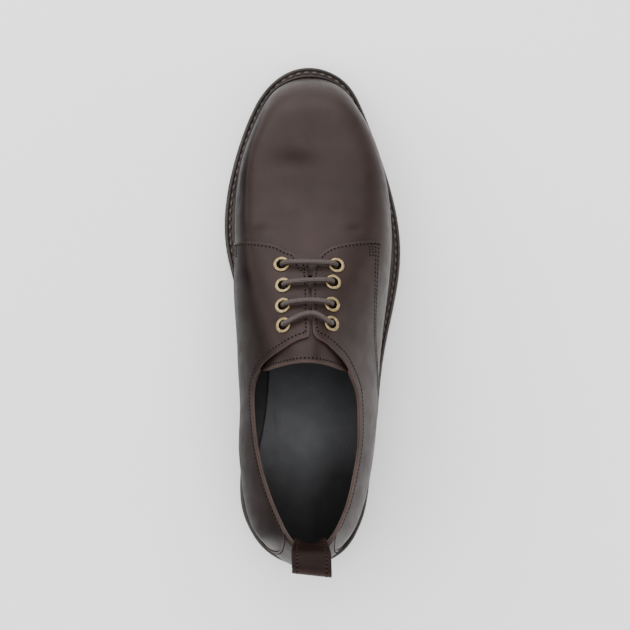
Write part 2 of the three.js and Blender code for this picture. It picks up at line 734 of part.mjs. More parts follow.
function throatPrism() {
  const steps = 10;
  const edge = (side) => {
    const open = FACING_EDGE[0][side] * FACING_SPREAD;
    const wide = FACING_EDGE[4][side] * FACING_SPREAD;
    const spots = [];
    for (let i = 0; i <= steps; i++) {
      const off = open + (wide - open) * i / steps;
      const x = facingFront(side, off);
      if (x < THROAT_LINE) {
        spots.push([x, off]);
      }
    }
    spots.push([THROAT_LINE, spots[spots.length - 1][1]]);
    return spots;
  };
  const outline = [[SLOT_BACK, SLOT_CENTRE - SLOT_WIDTH / 2]];
  edge('lateral').forEach(([x, off]) => outline.push([x, SLOT_CENTRE - off]));
  edge('medial').reverse().forEach(([x, off]) => outline.push([x, SLOT_CENTRE + off]));
  outline.push([SLOT_BACK, SLOT_CENTRE + SLOT_WIDTH / 2]);
  return planPrism(outline, 0, FAR);
}

// Tongue: a strip of the last's surface under the facings. The pocket for it in the facings
// grows by the play and runs on past the tip.
function tongueOutline(grow, overrun) {
  const front = THROAT_LINE + grow - TONGUE_PLAY;
  const length = front - TONGUE_TIP;
  const swing = (TONGUE_CENTRE - SLOT_CENTRE) / length;
  const medial = [];
  const lateral = [];
  for (const row of TONGUE_EDGE) {
    const x = front - row.back * length - (row.back > TONGUE_FULL ? overrun : 0);
    const middle = SLOT_CENTRE + swing * (front - x);
    const half = row.half * (TONGUE_WIDTH / 2 + grow);
    medial.push([x, middle + half]);
    lateral.unshift([x, middle - half]);
  }
  return [...medial, ...lateral];
}

function makeTongue(outer, inner) {
  return outer.subtract(inner).intersect(planPrism(tongueOutline(0, 0), MID_HEIGHT, FAR));
}

// Point and normal of the last over a plan point ahead of the heel
function surfaceOver(x, y) {
  const at = x / LAST_LENGTH;
  const cut = section(at);
  let [low, high] = [0, Math.PI];
  for (let i = 0; i < 40; i++) {
    const phi = (low + high) / 2;
    if (lastPoint(cut, phi).y > y) {
      low = phi;
    } else {
      high = phi;
    }
  }
  const turn = Math.acos(1 - 2 * at);
  return { point: lastPoint(cut, low), normal: lastNormal(turn, low) };
}

function eyeletPlace(row, side) {
  const off = row[side] * FACING_SPREAD * (side === 'medial' ? 1 : -1);
  return surfaceOver(row[`${side}At`] * LAST_LENGTH, SLOT_CENTRE + off);
}

function standOn(geometry, place, out) {
  const turn = new THREE.Quaternion().setFromUnitVectors(new THREE.Vector3(0, 1, 0), place.normal);
  geometry.applyQuaternion(turn);
  const spot = place.point.clone().addScaledVector(place.normal, out);
  geometry.translate(spot.x, spot.y, spot.z);
  return geometry;
}

const FACING_OUT = WALL + QUARTER_STEP;
const TONGUE_OUT = TONGUE_THICK - TONGUE_SINK;
const POCKET_OUT = TONGUE_OUT + SEAM;

function eyeletHole(place) {
  const radius = EYELET_BORE / 2 + EYELET_BARREL + SEAM;
  const drill = new THREE.CylinderGeometry(radius, radius, EYELET_DRILL, 16);
  return solidOf(standOn(drill, place, FACING_OUT));
}

function eyeletGeometry(place) {
  const bore = EYELET_BORE / 2;
  const foot = POCKET_OUT - FACING_OUT;
  const flange = EYELET_FLANGE / 2;
  const profile = [
    [bore, foot],
    [bore + EYELET_BARREL, foot],
    [bore + EYELET_BARREL, SEAM],
    [flange, SEAM],
    [flange - EYELET_EDGE, SEAM + EYELET_ROLL - EYELET_EDGE],
    [(bore + flange) / 2, SEAM + EYELET_ROLL],
    [bore, SEAM + EYELET_ROLL - EYELET_EDGE],
    [bore, foot],
  ];
  const lathe = new THREE.LatheGeometry(profile.map(([r, z]) => new THREE.Vector2(r, z)), 10);
  return standOn(lathe, place, FACING_OUT);
}

// Upper: vamp shell, quarter step and backstay step, hollowed by the last itself
function makeUpper(cavity, pocket) {
  const quarters = lastSolid(FACING_OUT).intersect(quarterRegion());
  const half = spline(BACKSTAY, 'up', 'half', BALL_WIDTH);
  const strip = [];
  const steps = 6;
  for (let i = 0; i <= steps; i++) {
    const up = BACKSTAY[0].up + (1 - BACKSTAY[0].up) * i / steps;
    strip.push([half(up), up * INSTEP_HEIGHT]);
  }
  const outline = [...strip, ...strip.map(([w, z]) => [-w, z]).reverse()];
  const shape = new THREE.Shape(outline.map(([w, z]) => new THREE.Vector2(w + last.axis(0), z)));
  const reach = 0.4 * BALL_WIDTH;
  const depth = 1.5 * reach;
  const geometry = new THREE.ExtrudeGeometry(shape, { depth, bevelEnabled: false });
  geometry.rotateX(Math.PI / 2);
  geometry.rotateZ(Math.PI / 2);
  geometry.translate(reach - depth, 0, 0);
  const backstay = lastSolid(FACING_OUT + BACKSTAY_STEP).intersect(solidOf(geometry));
  let upper = unite(lastSolid(WALL), quarters, backstay).subtract(cavity);
  upper = upper.subtract(bottomSlab(-FAR, 0)).subtract(toplineCutter()).subtract(throatPrism());
  const under = planPrism(tongueOutline(TONGUE_PLAY, POCKET_OVERRUN), MID_HEIGHT, FAR);
  upper = upper.subtract(pocket.intersect(under));
  for (const row of EYELETS) {
    upper = upper.subtract(eyeletHole(eyeletPlace(row, 'medial')));
    upper = upper.subtract(eyeletHole(eyeletPlace(row, 'lateral')));
  }
  return upper;
}

// Lace bar: up out of one eyelet, over the facings and down into the other
function laceBar(row) {
  const ends = ['medial', 'lateral'].map((side) => eyeletPlace(row, side));
  const radius = LACE_DIAMETER / 2;
  const lift = FACING_OUT + SEAM + EYELET_ROLL + radius + LACE_CLEAR;
  const middle = (row.medialAt + row.lateralAt) / 2 * LAST_LENGTH;
  const centre = surfaceOver(middle + row.bow * LACE_DIAMETER, SLOT_CENTRE);
  const route = (end, other) => {
    const inward = other.point.clone().sub(end.point).projectOnPlane(end.normal).normalize();
    const dip = FACING_OUT + SEAM;
    return LACE_RISE.map(({ run, rise }) => end.point.clone()
      .addScaledVector(inward, run * LACE_DIAMETER)
      .addScaledVector(end.normal, dip + (lift - dip) * rise));
  };
  const top = centre.point.clone().addScaledVector(centre.normal, lift + LACE_CREST);
  const points = [...route(ends[0], ends[1]), top, ...route(ends[1], ends[0]).reverse()];
  const shape = new THREE.Shape();
  const sides = 6;
  for (let i = 0; i < sides; i++) {
    const angle = 2 * Math.PI * i / sides;
    const [x, y] = [radius * Math.cos(angle), radius * Math.sin(angle)];
    if (i === 0) {
      shape.moveTo(x, y);
    } else {
      shape.lineTo(x, y);
    }
  }
  const path = new THREE.CatmullRomCurve3(points, false, 'centripetal');
  const options = { steps: 15, extrudePath: path, bevelEnabled: false };
  return solidOf(new THREE.ExtrudeGeometry(shape, options));
}

// Pull loop: one strap from inside the collar, up, folded back and down the backstay
function makeLoop() {
  const base = TOPLINE[0].medial * INSTEP_HEIGHT;
  const rest = SEAM + LOOP_THICK / 2;
  const wall = FACING_OUT + BACKSTAY_STEP;
  const path = LOOP_PATH.map((row) => {
    const z = row.up * INSTEP_HEIGHT;
    const clear = (1 - 2 * row.wall) * rest - row.wall * wall;
    const x = backLean(Math.min(z, base)) + clear + row.slack * LOOP_WIDTH;
    return new THREE.Vector3(x, row.curl * LOOP_WIDTH, z);
  });
  const curve = new THREE.CatmullRomCurve3(path, false, 'centripetal');
  const steps = 24;
  const across = 4;
  const points = [];
  for (let i = 0; i <= steps; i++) {
    const spot = curve.getPoint(i / steps);
    const next = curve.getTangent(i / steps);
    const along = new THREE.Vector3(next.x, 0, next.z).normalize();
    const curl = spot.y / LOOP_WIDTH;
    const width = LOOP_WIDTH * (1 - LOOP_TUCK * curl);
    const bend = curl / (2 * LOOP_WRAP);
    const skew = LOOP_SKEW * smooth((spot.z - base) / (INSTEP_HEIGHT - base));
    for (const face of [1, -1]) {
      for (let j = 0; j <= across; j++) {
        const y = width * (j / across - 0.5);
        const sideways = new THREE.Vector3(2 * bend * y, 1, 0);
        const out = sideways.cross(along).normalize().multiplyScalar(face * LOOP_THICK / 2);
        const x = spot.x + bend * y * y + skew * y / LOOP_WIDTH;
        points.push(new THREE.Vector3(x, LOOP_CENTRE + y, spot.z).add(out));
      }
    }
  }
  const faces = [];
  const row = 2 * (across + 1);
  const loop = [];
  for (let j = 0; j <= across; j++) {
    loop.push(j);
  }
  for (let j = across; j >= 0; j--) {
    loop.push(across + 1 + j);
  }
  for (let i = 0; i < steps; i++) {
    for (let k = 0; k < row; k++) {
      const p = i * row + loop[k];
      const q = i * row + loop[(k + 1) % row];
      faces.push([p, q, q + row], [p, q + row, p + row]);
    }
  }
  const end = steps * row;
  for (let j = 0; j < across; j++) {
    const under = across + 1 + j;
    faces.push([j, under, under + 1], [j, under + 1, j + 1]);
    faces.push([end + j, end + under + 1, end + under], [end + j, end + j + 1, end + under + 1]);
  }
  return solidFrom(points, faces);
}

// Finishes
const leather = new THREE.MeshStandardMaterial({ color: 0x3d302d, roughness: 0.42, metalness: 0 });
const insoleLeather = new THREE.MeshStandardMaterial({ color: 0x2c2d2f, roughness: 0.7, metalness: 0 });
const rubber = new THREE.MeshStandardMaterial({ color: 0x151413, roughness: 0.6, metalness: 0 });
const cord = new THREE.MeshStandardMaterial({ color: 0x5a4a45, roughness: 0.65, metalness: 0 });
const brass = new THREE.MeshStandardMaterial({ color: 0xa8946a, roughness: 0.35, metalness: 1 });

const pieces = new THREE.Group();

function addPiece(name, geometry, material) {
  const mesh = new THREE.Mesh(geometry, material.clone());
  mesh.name = name;
  pieces.add(mesh);
}

const cavity = lastSolid(0);
addPiece('outsole', geometryOf(makeOutsole()), rubber);
addPiece('welt', geometryOf(makeWelt()), rubber);
addPiece('insole', geometryOf(makeInsole()), insoleLeather);
const heelBlock = makeHeel(() => TOP_PIECE_THICK + SEAM, (x) => soleRise(x) - SEAM, 0);
addPiece('heel_block', geometryOf(heelBlock), rubber);
const topPiece = makeHeel(() => 0, () => TOP_PIECE_THICK, HEEL_TAPER / 2);
addPiece('heel_top_piece', geometryOf(topPiece), rubber);
addPiece('upper', geometryOf(makeUpper(cavity, lastSolid(POCKET_OUT))), leather);
const tongue = makeTongue(lastSolid(TONGUE_OUT), lastSolid(-TONGUE_SINK));
addPiece('tongue', geometryOf(tongue), leather);
addPiece('pull_loop', geometryOf(makeLoop()), leather);
EYELETS.forEach((row, i) => {
  addPiece(`eyelet_medial_${i + 1}`, eyeletGeometry(eyeletPlace(row, 'medial')), brass);
  addPiece(`eyelet_lateral_${i + 1}`, eyeletGeometry(eyeletPlace(row, 'lateral')), brass);
  addPiece(`lace_bar_${i + 1}`, geometryOf(laceBar(row)), cord);
});

// Origin under the middle of the whole shoe, on the floor
const box = new THREE.Box3().setFromObject(pieces);
pieces.position.set(-(box.min.x + box.max.x) / 2, -(box.min.y + box.max.y) / 2, -box.min.z);
const shoe = new THREE.Group();
shoe.add(pieces);

export default shoe;
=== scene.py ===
"""Looks of the right-foot derby shoe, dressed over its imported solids.

Shapes are worked out in millimetres in the shoe's modelling frame: x from the last's back to the
toe, y to the inner side, z up from the floor. PLACE moves them into the object's frame.
"""
import bmesh
import bpy
import numpy as np
from mathutils import Matrix, Vector


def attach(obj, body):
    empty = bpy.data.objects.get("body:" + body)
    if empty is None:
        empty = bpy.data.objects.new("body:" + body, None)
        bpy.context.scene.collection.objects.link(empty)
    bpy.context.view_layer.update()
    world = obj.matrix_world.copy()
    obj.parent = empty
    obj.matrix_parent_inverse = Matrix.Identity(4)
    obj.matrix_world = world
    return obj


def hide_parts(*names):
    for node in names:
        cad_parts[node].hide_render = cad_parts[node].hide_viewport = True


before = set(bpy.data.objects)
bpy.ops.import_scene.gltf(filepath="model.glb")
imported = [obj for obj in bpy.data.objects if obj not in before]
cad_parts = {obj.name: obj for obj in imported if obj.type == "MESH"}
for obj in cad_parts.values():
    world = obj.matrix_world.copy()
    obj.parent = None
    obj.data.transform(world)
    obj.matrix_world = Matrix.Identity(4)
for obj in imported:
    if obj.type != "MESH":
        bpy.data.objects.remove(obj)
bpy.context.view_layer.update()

PLACE = np.array([-130.2, 2.302, 0.0])
MM = 0.001

# Sizes of the last, the sole and the leathers, as in the part
LAST_LENGTH = 258.0
BALL_WIDTH = 97.5
INSTEP_HEIGHT = 100.0
SOLE_BACK = 5.4
SOLE_FRONT = 7.8
SOLE_LENGTH = SOLE_BACK + LAST_LENGTH + SOLE_FRONT
SEAT_RISE = 19.5
TOE_SPRING = 9.0
BACK_CURVE = 80.0
WALL = 1.6
QUARTER_STEP = 1.0
BACKSTAY_STEP = 0.8
FACING_OUT = WALL + QUARTER_STEP
BACKSTAY_OUT = FACING_OUT + BACKSTAY_STEP
OUTSOLE_THICK = 5.5
WELT_THICK = 3.2
SEAM = 0.3
SLOT_WIDTH = 1.5
SLOT_CENTRE = 2.9
FACING_LENGTH = 0.17 * LAST_LENGTH
FACING_FRONT = 0.653 * LAST_LENGTH
FACING_SPREAD = 0.38 * BALL_WIDTH
THROAT_LINE = FACING_FRONT - 10.0
TONGUE_TIP = 0.393 * LAST_LENGTH
TONGUE_WIDTH = 0.44 * BALL_WIDTH
TONGUE_CENTRE = 5.4
LACE = 2.8

LAST_SECTIONS = np.array([
    # at, half, centre, axis, widest, crown, belly, pinch, sweep
    [0.000, 0.000, 0.039, 0.024, 0.450, 0.620, 0.550, 0.400, 0.000],
    [0.023, 0.135, 0.042, 0.022, 0.444, 0.610, 0.550, 0.520, 0.000],
    [0.054, 0.224, 0.045, 0.021, 0.438, 0.600, 0.550, 0.720, 0.000],
    [0.101, 0.286, 0.044, 0.021, 0.430, 0.580, 0.550, 0.760, 0.000],
    [0.163, 0.321, 0.035, 0.023, 0.422, 0.565, 0.540, 0.700, -0.010],
    [0.233, 0.345, 0.028, 0.031, 0.411, 0.570, 0.500, 0.600, -0.040],
    [0.310, 0.351, 0.014, 0.044, 0.400, 0.590, 0.460, 0.420, -0.100],
    [0.388, 0.364, 0.009, 0.048, 0.388, 0.575, 0.500, 0.380, -0.140],
    [0.465, 0.378, 0.003, 0.043, 0.370, 0.525, 0.560, 0.280, -0.140],
    [0.543, 0.399, -0.004, 0.034, 0.350, 0.445, 0.700, 0.100, -0.100],
    [0.620, 0.413, -0.011, 0.030, 0.330, 0.365, 0.780, -0.050, -0.040],
    [0.698, 0.415, -0.012, 0.027, 0.310, 0.295, 0.750, -0.160, 0.000],
    [0.775, 0.397, -0.009, 0.022, 0.290, 0.240, 0.680, -0.250, 0.000],
    [0.845, 0.355, -0.005, 0.014, 0.270, 0.212, 0.580, -0.300, 0.000],
    [0.899, 0.300, -0.004, 0.008, 0.243, 0.207, 0.500, -0.300, 0.000],
    [0.946, 0.236, 0.002, 0.003, 0.207, 0.198, 0.380, -0.260, 0.000],
    [0.977, 0.171, 0.000, 0.000, 0.178, 0.148, 0.240, -0.220, 0.000],
    [1.000, 0.000, -0.005, -0.005, 0.155, 0.000, 0.000, -0.200, 0.000],
])
SOLE_SECTIONS = np.array([
    # at, half, centre
    [0.000, 0.000, 0.026], [0.016, 0.165, 0.026], [0.034, 0.230, 0.028], [0.065, 0.291, 0.032],
    [0.105, 0.337, 0.035], [0.145, 0.356, 0.033], [0.208, 0.364, 0.021], [0.282, 0.379, 0.007],
    [0.356, 0.382, -0.014], [0.430, 0.397, -0.032], [0.504, 0.431, -0.045], [0.560, 0.462, -0.045],
    [0.626, 0.492, -0.031], [0.686, 0.493, -0.018], [0.746, 0.468, -0.008], [0.827, 0.407, 0.001],
    [0.908, 0.321, 0.004], [0.949, 0.259, 0.000], [0.983, 0.161, -0.003], [1.000, 0.000, 0.000],
])
TOPLINE = np.array([
    # at, medial, lateral
    [0.000, 0.860, 0.860], [0.050, 0.824, 0.805], [0.117, 0.770, 0.742], [0.190, 0.708, 0.708],
    [0.260, 0.676, 0.686], [0.320, 0.666, 0.704], [0.364, 0.683, 0.730], [0.391, 0.720, 0.770],
    [0.418, 0.787, 0.812], [0.440, 0.865, 0.861], [0.462, 0.905, 0.895], [0.484, 0.930, 0.930],
])
FACING_EDGE = np.array([
    # medial, lateral, back
    [0.020, 0.020, 0.560], [0.028, 0.038, 0.430], [0.080, 0.070, 0.330], [0.165, 0.118, 0.235],
    [0.285, 0.200, 0.150], [0.420, 0.330, 0.088], [0.587, 0.527, 0.045], [0.770, 0.740, 0.015],
    [1.000, 1.000, 0.000],
])
SIDE_SEAM = np.array([
    # at, medial, lateral
    [0.200, 0.10, 0.10], [0.262, 0.23, 0.25], [0.322, 0.30, 0.40], [0.376, 0.34, 0.47],
    [0.473, 0.37, 0.56], [0.573, 0.40, 0.60], [0.653, 0.43, 0.57],
])
BACKSTAY = np.array([
    # up, half
    [0.10, 0.235], [0.45, 0.185], [0.70, 0.125], [1.00, 0.110],
])
EYELETS = [
    # medial at, medial off, lateral at, lateral off, bow
    (0.601, 0.375, 0.599, 0.365, 0.0),
    (0.559, 0.351, 0.565, 0.308, 0.1),
    (0.519, 0.349, 0.521, 0.276, 0.3),
    (0.481, 0.336, 0.484, 0.253, 1.4),
]


# Curves through a table's columns

def natural_spline(x, y, power=1):
    """Natural cubic spline through the points; power 2 runs it through the squares."""
    y = y ** power
    n = len(x)
    second = np.zeros(n)
    work = np.zeros(n)
    for i in range(1, n - 1):
        ratio = (x[i] - x[i - 1]) / (x[i + 1] - x[i - 1])
        pivot = ratio * second[i - 1] + 2
        slopes = (y[i + 1] - y[i]) / (x[i + 1] - x[i]) - (y[i] - y[i - 1]) / (x[i] - x[i - 1])
        second[i] = (ratio - 1) / pivot
        work[i] = (6 * slopes / (x[i + 1] - x[i - 1]) - ratio * work[i - 1]) / pivot
    for i in range(n - 2, -1, -1):
        second[i] = second[i] * second[i + 1] + work[i]

    def value(at):
        t = np.clip(at, x[0], x[-1])
        i = np.clip(np.searchsorted(x, t) - 1, 0, n - 2)
        h = x[i + 1] - x[i]
        a = (x[i + 1] - t) / h
        b = 1 - a
        bend = ((a ** 3 - a) * second[i] + (b ** 3 - b) * second[i + 1]) * h * h / 6
        out = a * y[i] + b * y[i + 1] + bend
        return out if power == 1 else np.sqrt(np.maximum(out, 0))

    return value


def column_curve(table, column, scale, power=1):
    """Spline through one column of a table over its first column."""
    return natural_spline(table[:, 0], table[:, column] * scale, power)


def smooth(t):
    u = np.clip(t, 0, 1)
    return u * u * (3 - 2 * u)


LAST_SCALE = [1, BALL_WIDTH, BALL_WIDTH, BALL_WIDTH, INSTEP_HEIGHT, INSTEP_HEIGHT, INSTEP_HEIGHT, 1,
              BALL_WIDTH]
last_curves = [column_curve(LAST_SECTIONS, k, LAST_SCALE[k], 2 if k in (1, 5, 6) else 1)
               for k in range(1, 9)]
sole_half = column_curve(SOLE_SECTIONS, 1, BALL_WIDTH, 2)
sole_centre = column_curve(SOLE_SECTIONS, 2, BALL_WIDTH)
topline = {side: column_curve(TOPLINE, k, INSTEP_HEIGHT) for side, k in ((1, 1), (-1, 2))}
side_seam = {side: column_curve(SIDE_SEAM, k, INSTEP_HEIGHT) for side, k in ((1, 1), (-1, 2))}
facing_back = {side: natural_spline(FACING_EDGE[:, k], FACING_EDGE[:, 2] * FACING_LENGTH)
               for side, k in ((1, 0), (-1, 1))}
backstay_half = column_curve(BACKSTAY, 1, BALL_WIDTH)

TREAD_BACK = 0.575 * LAST_LENGTH
TREAD_FRONT = 0.82 * LAST_LENGTH
SEAT_FRONT = 0.19 * LAST_LENGTH
SOLE_TIP = SOLE_LENGTH - SOLE_BACK
BULGE_HEIGHT = 45.0
LEAN_REACH = 0.25


def sole_rise(x):
    spring = np.maximum(x - TREAD_FRONT, 0) / (SOLE_TIP - TREAD_FRONT)
    return SEAT_RISE * smooth((TREAD_BACK - x) / (TREAD_BACK - SEAT_FRONT)) + TOE_SPRING * spring ** 1.9


def outsole_top(x):
    return sole_rise(x) + OUTSOLE_THICK


def welt_top(x):
    return outsole_top(x) + SEAM + WELT_THICK


def feather(x):
    return welt_top(x) + SEAM


# The last's surface. turn runs from 0 at the heel to pi at the toe, phi from the medial foot
# over the ridge to the lateral foot.

def at_turn(turn):
    return (1 - np.cos(turn)) / 2


def turn_at(at):
    return np.arccos(np.clip(1 - 2 * at, -1, 1))


def last_point(turn, phi):
    turn, phi = np.broadcast_arrays(turn, phi)
    at = at_turn(turn)
    half, centre, axis, widest, crown, belly, pinch, sweep = [curve(at) for curve in last_curves]
    s = np.sin(phi)
    c = np.cos(phi)
    z = widest + (crown + belly) / 2 * s + (crown - belly) / 2 * s * s
    y = axis + half * c * (1 - pinch * s * s) + (centre - axis) * c * c + sweep * (s * s - s) / 2
    lean = (1 - smooth(at / LEAN_REACH)) * (z - BULGE_HEIGHT) ** 2 / (2 * BACK_CURVE)
    return np.stack([at * LAST_LENGTH + lean, y, z], axis=-1)


def last_normal(turn, phi):
    step = 1e-3
    turn, phi = np.broadcast_arrays(turn, phi)
    inner = np.clip(turn, 3 * step, np.pi - 3 * step)
    along = last_point(inner + step, phi) - last_point(inner - step, phi)
    around = last_point(inner, phi + step) - last_point(inner, phi - step)
    normal = -np.cross(along, around)
    return normal / np.maximum(np.linalg.norm(normal, axis=-1, keepdims=True), 1e-12)


def surface(turn, phi, out):
    return last_point(turn, phi) + last_normal(turn, phi) * np.asarray(out)[..., None]


def angle_at(turn, z):
    """Angle on the medial side at which a section reaches a height."""
    at = at_turn(np.asarray(turn, dtype=float))
    widest, crown, belly = [last_curves[k](at) for k in (3, 4, 5)]
    a = (crown + belly) / 2
    b = (crown - belly) / 2
    up = z - widest
    root = np.sqrt(np.maximum(a * a + 4 * b * up, 0))
    return np.arcsin(np.clip(2 * up / np.maximum(a + root, 1e-6), -1, 1))


def angle_over(turn, y):
    """Angle at which a section reaches a sideways place, over the top."""
    turn, y = np.broadcast_arrays(np.asarray(turn, dtype=float), y)
    low = np.zeros(turn.shape)
    high = np.full(turn.shape, np.pi)
    for _ in range(36):
        phi = (low + high) / 2
        more = last_point(turn, phi)[..., 1] > y
        low = np.where(more, phi, low)
        high = np.where(more, high, phi)
    return low


def foot_angle(turn, drop=0.0):
    return angle_at(turn, feather(at_turn(turn) * LAST_LENGTH) - drop)


def on_side(phi, side):
    """phi of the medial side for side 1, its mirror over the ridge for side -1."""
    return phi if side == 1 else np.pi - phi


# Paths over the last, as rows of (turn, phi)

def lengths(spots):
    """Distance along a path at each of its points."""
    step = np.linalg.norm(np.diff(spots, axis=0), axis=1)
    return np.concatenate([[0], np.cumsum(step)])


def along_path(values, run, where):
    """Values of a path read off at other distances along it."""
    return np.stack([np.interp(where, run, values[:, k]) for k in range(values.shape[1])], axis=1)


def even_over_last(path, count):
    """A (turn, phi) path resampled at even steps over the last's surface."""
    run = lengths(last_point(path[:, 0], path[:, 1]))
    return along_path(path, run, np.linspace(0, run[-1], count))


def inset(path, distance, toward):
    """A (turn, phi) path moved over the surface to the side on which the place toward lies."""
    step = 1e-3
    turn = np.clip(path[:, 0], 3 * step, np.pi - 3 * step)
    phi = path[:, 1]
    by_turn = (last_point(turn + step, phi) - last_point(turn - step, phi)) / (2 * step)
    by_phi = (last_point(turn, phi + step) - last_point(turn, phi - step)) / (2 * step)
    spots = last_point(turn, phi)
    across = np.cross(last_normal(turn, phi), np.gradient(spots, axis=0))
    across /= np.maximum(np.linalg.norm(across, axis=1, keepdims=True), 1e-9)
    if np.sum(across * (last_point(*toward) - spots)) < 0:
        across = -across
    want = across * distance
    aa, bb, ab = [(a * b).sum(axis=1)
                  for a, b in ((by_turn, by_turn), (by_phi, by_phi), (by_turn, by_phi))]
    ta, tb = [(want * a).sum(axis=1) for a in (by_turn, by_phi)]
    det = aa * bb - ab * ab
    return path + np.stack([(ta * bb - tb * ab) / det, (tb * aa - ta * ab) / det], axis=1)


EASING = 1500


def eased(grid):
    """Spaces the inside of a grid evenly and then takes out its folds, with its edges kept."""
    for unfolding in [False] * EASING + [True] * EASING:
        rows = grid[:-2, 1:-1] + grid[2:, 1:-1]
        columns = grid[1:-1, :-2] + grid[1:-1, 2:]
        if not unfolding:
            grid[1:-1, 1:-1] = (rows + columns) / 4
            continue
        along = (grid[2:, 1:-1] - grid[:-2, 1:-1]) / 2
        across = (grid[1:-1, 2:] - grid[1:-1, :-2]) / 2
        skew = (grid[2:, 2:] - grid[2:, :-2] - grid[:-2, 2:] + grid[:-2, :-2]) / 4
        a = np.sum(across * across, axis=-1, keepdims=True)
        g = np.sum(along * along, axis=-1, keepdims=True)
        b = np.sum(along * across, axis=-1, keepdims=True)
        grid[1:-1, 1:-1] = (a * rows + g * columns - 2 * b * skew) / (2 * (a + g))
    return grid


def patch(bottom, top, back, front):
    """Grid between four edge paths, bottom and top running from back to front."""
    u = np.linspace(0, 1, len(bottom))[:, None, None]
    v = np.linspace(0, 1, len(back))[None, :, None]
    corners = ((1 - u) * (1 - v) * bottom[0] + u * (1 - v) * bottom[-1]
               + (1 - u) * v * top[0] + u * v * top[-1])
    return ((1 - v) * bottom[:, None, :] + v * top[:, None, :]
            + (1 - u) * back[None, :, :] + u * front[None, :, :] - corners)


# Creases and soft dents of the leather: where on the shoe, how far they reach along
# and across their own line, the line's heading from the shoe's length, and how high they stand
FORMS = [
    # x, side, up from foot to ridge, long, wide, heading in degrees, rise
    (213, 1, 0.93, 11.0, 6.0, 85, -0.95),
    (224, 1, 0.92, 12.0, 5.0, 85, 0.14),
    (203, 1, 0.86, 14.0, 5.0, 80, 0.16),
    (194, -1, 0.40, 16.0, 8.0, 8, -0.80),
    (192, 1, 0.42, 20.0, 8.0, -6, -0.55),
    (175, 1, 0.66, 5.0, 2.2, 85, -0.55),
    (175, -1, 0.72, 5.0, 2.2, 95, -0.55),
    (184, -1, 0.82, 15.0, 4.0, 78, -0.22),
    (181, 1, 0.88, 14.0, 4.0, 95, -0.20),
    (146, -1, 0.62, 10.0, 5.0, 50, 0.35),
    (150, 1, 0.55, 12.0, 5.0, 60, -0.30),
    (132, 1, 0.48, 14.0, 5.0, 70, 0.30),
    (118, -1, 0.60, 12.0, 5.0, 75, -0.30),
    (98, 1, 0.62, 10.0, 4.0, 80, -0.25),
    (84, -1, 0.66, 10.0, 4.5, 85, -0.25),
    (47, 1, 0.72, 8.0, 3.0, 60, -0.22),
    (38, -1, 0.74, 8.0, 3.0, 110, -0.22),
    (30, 1, 0.45, 9.0, 4.0, 20, 0.20),
]


def relief(spots):
    """Rise of the leather at its creases and dents."""
    rise = np.zeros(spots.shape[:-1])
    for x, side, up, long, wide, heading, height in FORMS:
        turn = turn_at(x / LAST_LENGTH)
        foot = foot_angle(turn)
        phi = on_side(foot + up * (np.pi / 2 - foot), side)
        middle = surface(turn, phi, FACING_OUT)
        normal = last_normal(turn, phi)
        ahead = np.array([1.0, 0, 0]) - normal * normal[0]
        ahead /= np.linalg.norm(ahead)
        around = np.cross(normal, ahead)
        angle = np.radians(heading)
        line = np.cos(angle) * ahead + np.sin(angle) * around
        u = (spots - middle) @ line / long
        v = (spots - middle) @ np.cross(normal, line) / wide
        w = (spots - middle) @ normal / (2 * long)
        rise += height * np.exp(-u * u - v * v - w * w)
    return rise


# Meshes

def mesh_piece(name, points, faces, materials):
    mesh = bpy.data.meshes.new(name)
    mesh.from_pydata(((points + PLACE) * MM).tolist(), [], faces)
    mesh.update()
    for material in materials:
        mesh.materials.append(material)
    mesh.shade_smooth()
    piece = bpy.data.objects.new(name, mesh)
    bpy.context.scene.collection.objects.link(piece)
    return piece


def grid_faces(rows, columns, wrap_columns=False, wrap_rows=False, flip=False):
    faces = []
    for i in range(rows if wrap_rows else rows - 1):
        for j in range(columns if wrap_columns else columns - 1):
            a = i * columns + j
            b = i * columns + (j + 1) % columns
            c = ((i + 1) % rows) * columns + (j + 1) % columns
            d = ((i + 1) % rows) * columns + j
            faces.append((a, d, c, b) if flip else (a, b, c, d))
    return faces


def finished(piece):
    """Applies the modifiers, so that the piece is a plain mesh."""
    depsgraph = bpy.context.evaluated_depsgraph_get()
    mesh = bpy.data.meshes.new_from_object(piece.evaluated_get(depsgraph), depsgraph=depsgraph)
    piece.modifiers.clear()
    piece.data = mesh
    return piece


def give_values(piece, label, kind, values):
    attribute = piece.data.attributes.new(label, kind, "POINT")
    key = "vector" if kind == "FLOAT_VECTOR" else "value"
    attribute.data.foreach_set(key, np.asarray(values, dtype=float).ravel())


def leather_sheet(name, points, normals, thickness, materials, bevel=0.25, worn=None, painted_shade=None):
    """A grid of outer points as a sheet with its thickness inwards and rounded edges."""
    rows, columns = points.shape[:2]
    across = np.cross(np.gradient(points, axis=1), np.gradient(points, axis=0))
    flip = np.sum(across * normals) < 0
    piece = mesh_piece(name, points.reshape(-1, 3), grid_faces(rows, columns, flip=flip), materials)
    for label, values in (("worn", worn), ("painted_shade", painted_shade)):
        if values is not None:
            give_values(piece, label, "FLOAT", np.broadcast_to(values, (rows, columns)))
    weld = piece.modifiers.new("weld", "WELD")
    weld.merge_threshold = 0.01 * MM
    solid = piece.modifiers.new("thickness", "SOLIDIFY")
    solid.thickness = thickness * MM
    solid.offset = -1
    solid.material_offset = 1
    solid.material_offset_rim = 2
    if bevel:
        edge = piece.modifiers.new("edge", "BEVEL")
        edge.width = bevel * MM
        edge.segments = 2
        edge.limit_method = "ANGLE"
        edge.angle_limit = np.radians(50)
    return finished(piece)


def add(piece, node):
    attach(piece, "root")
    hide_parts(*([node] if isinstance(node, str) else node))
    return piece


# Materials

def set_body(material, label, value):
    material.node_tree.nodes["Principled BSDF"].inputs[label].default_value = value


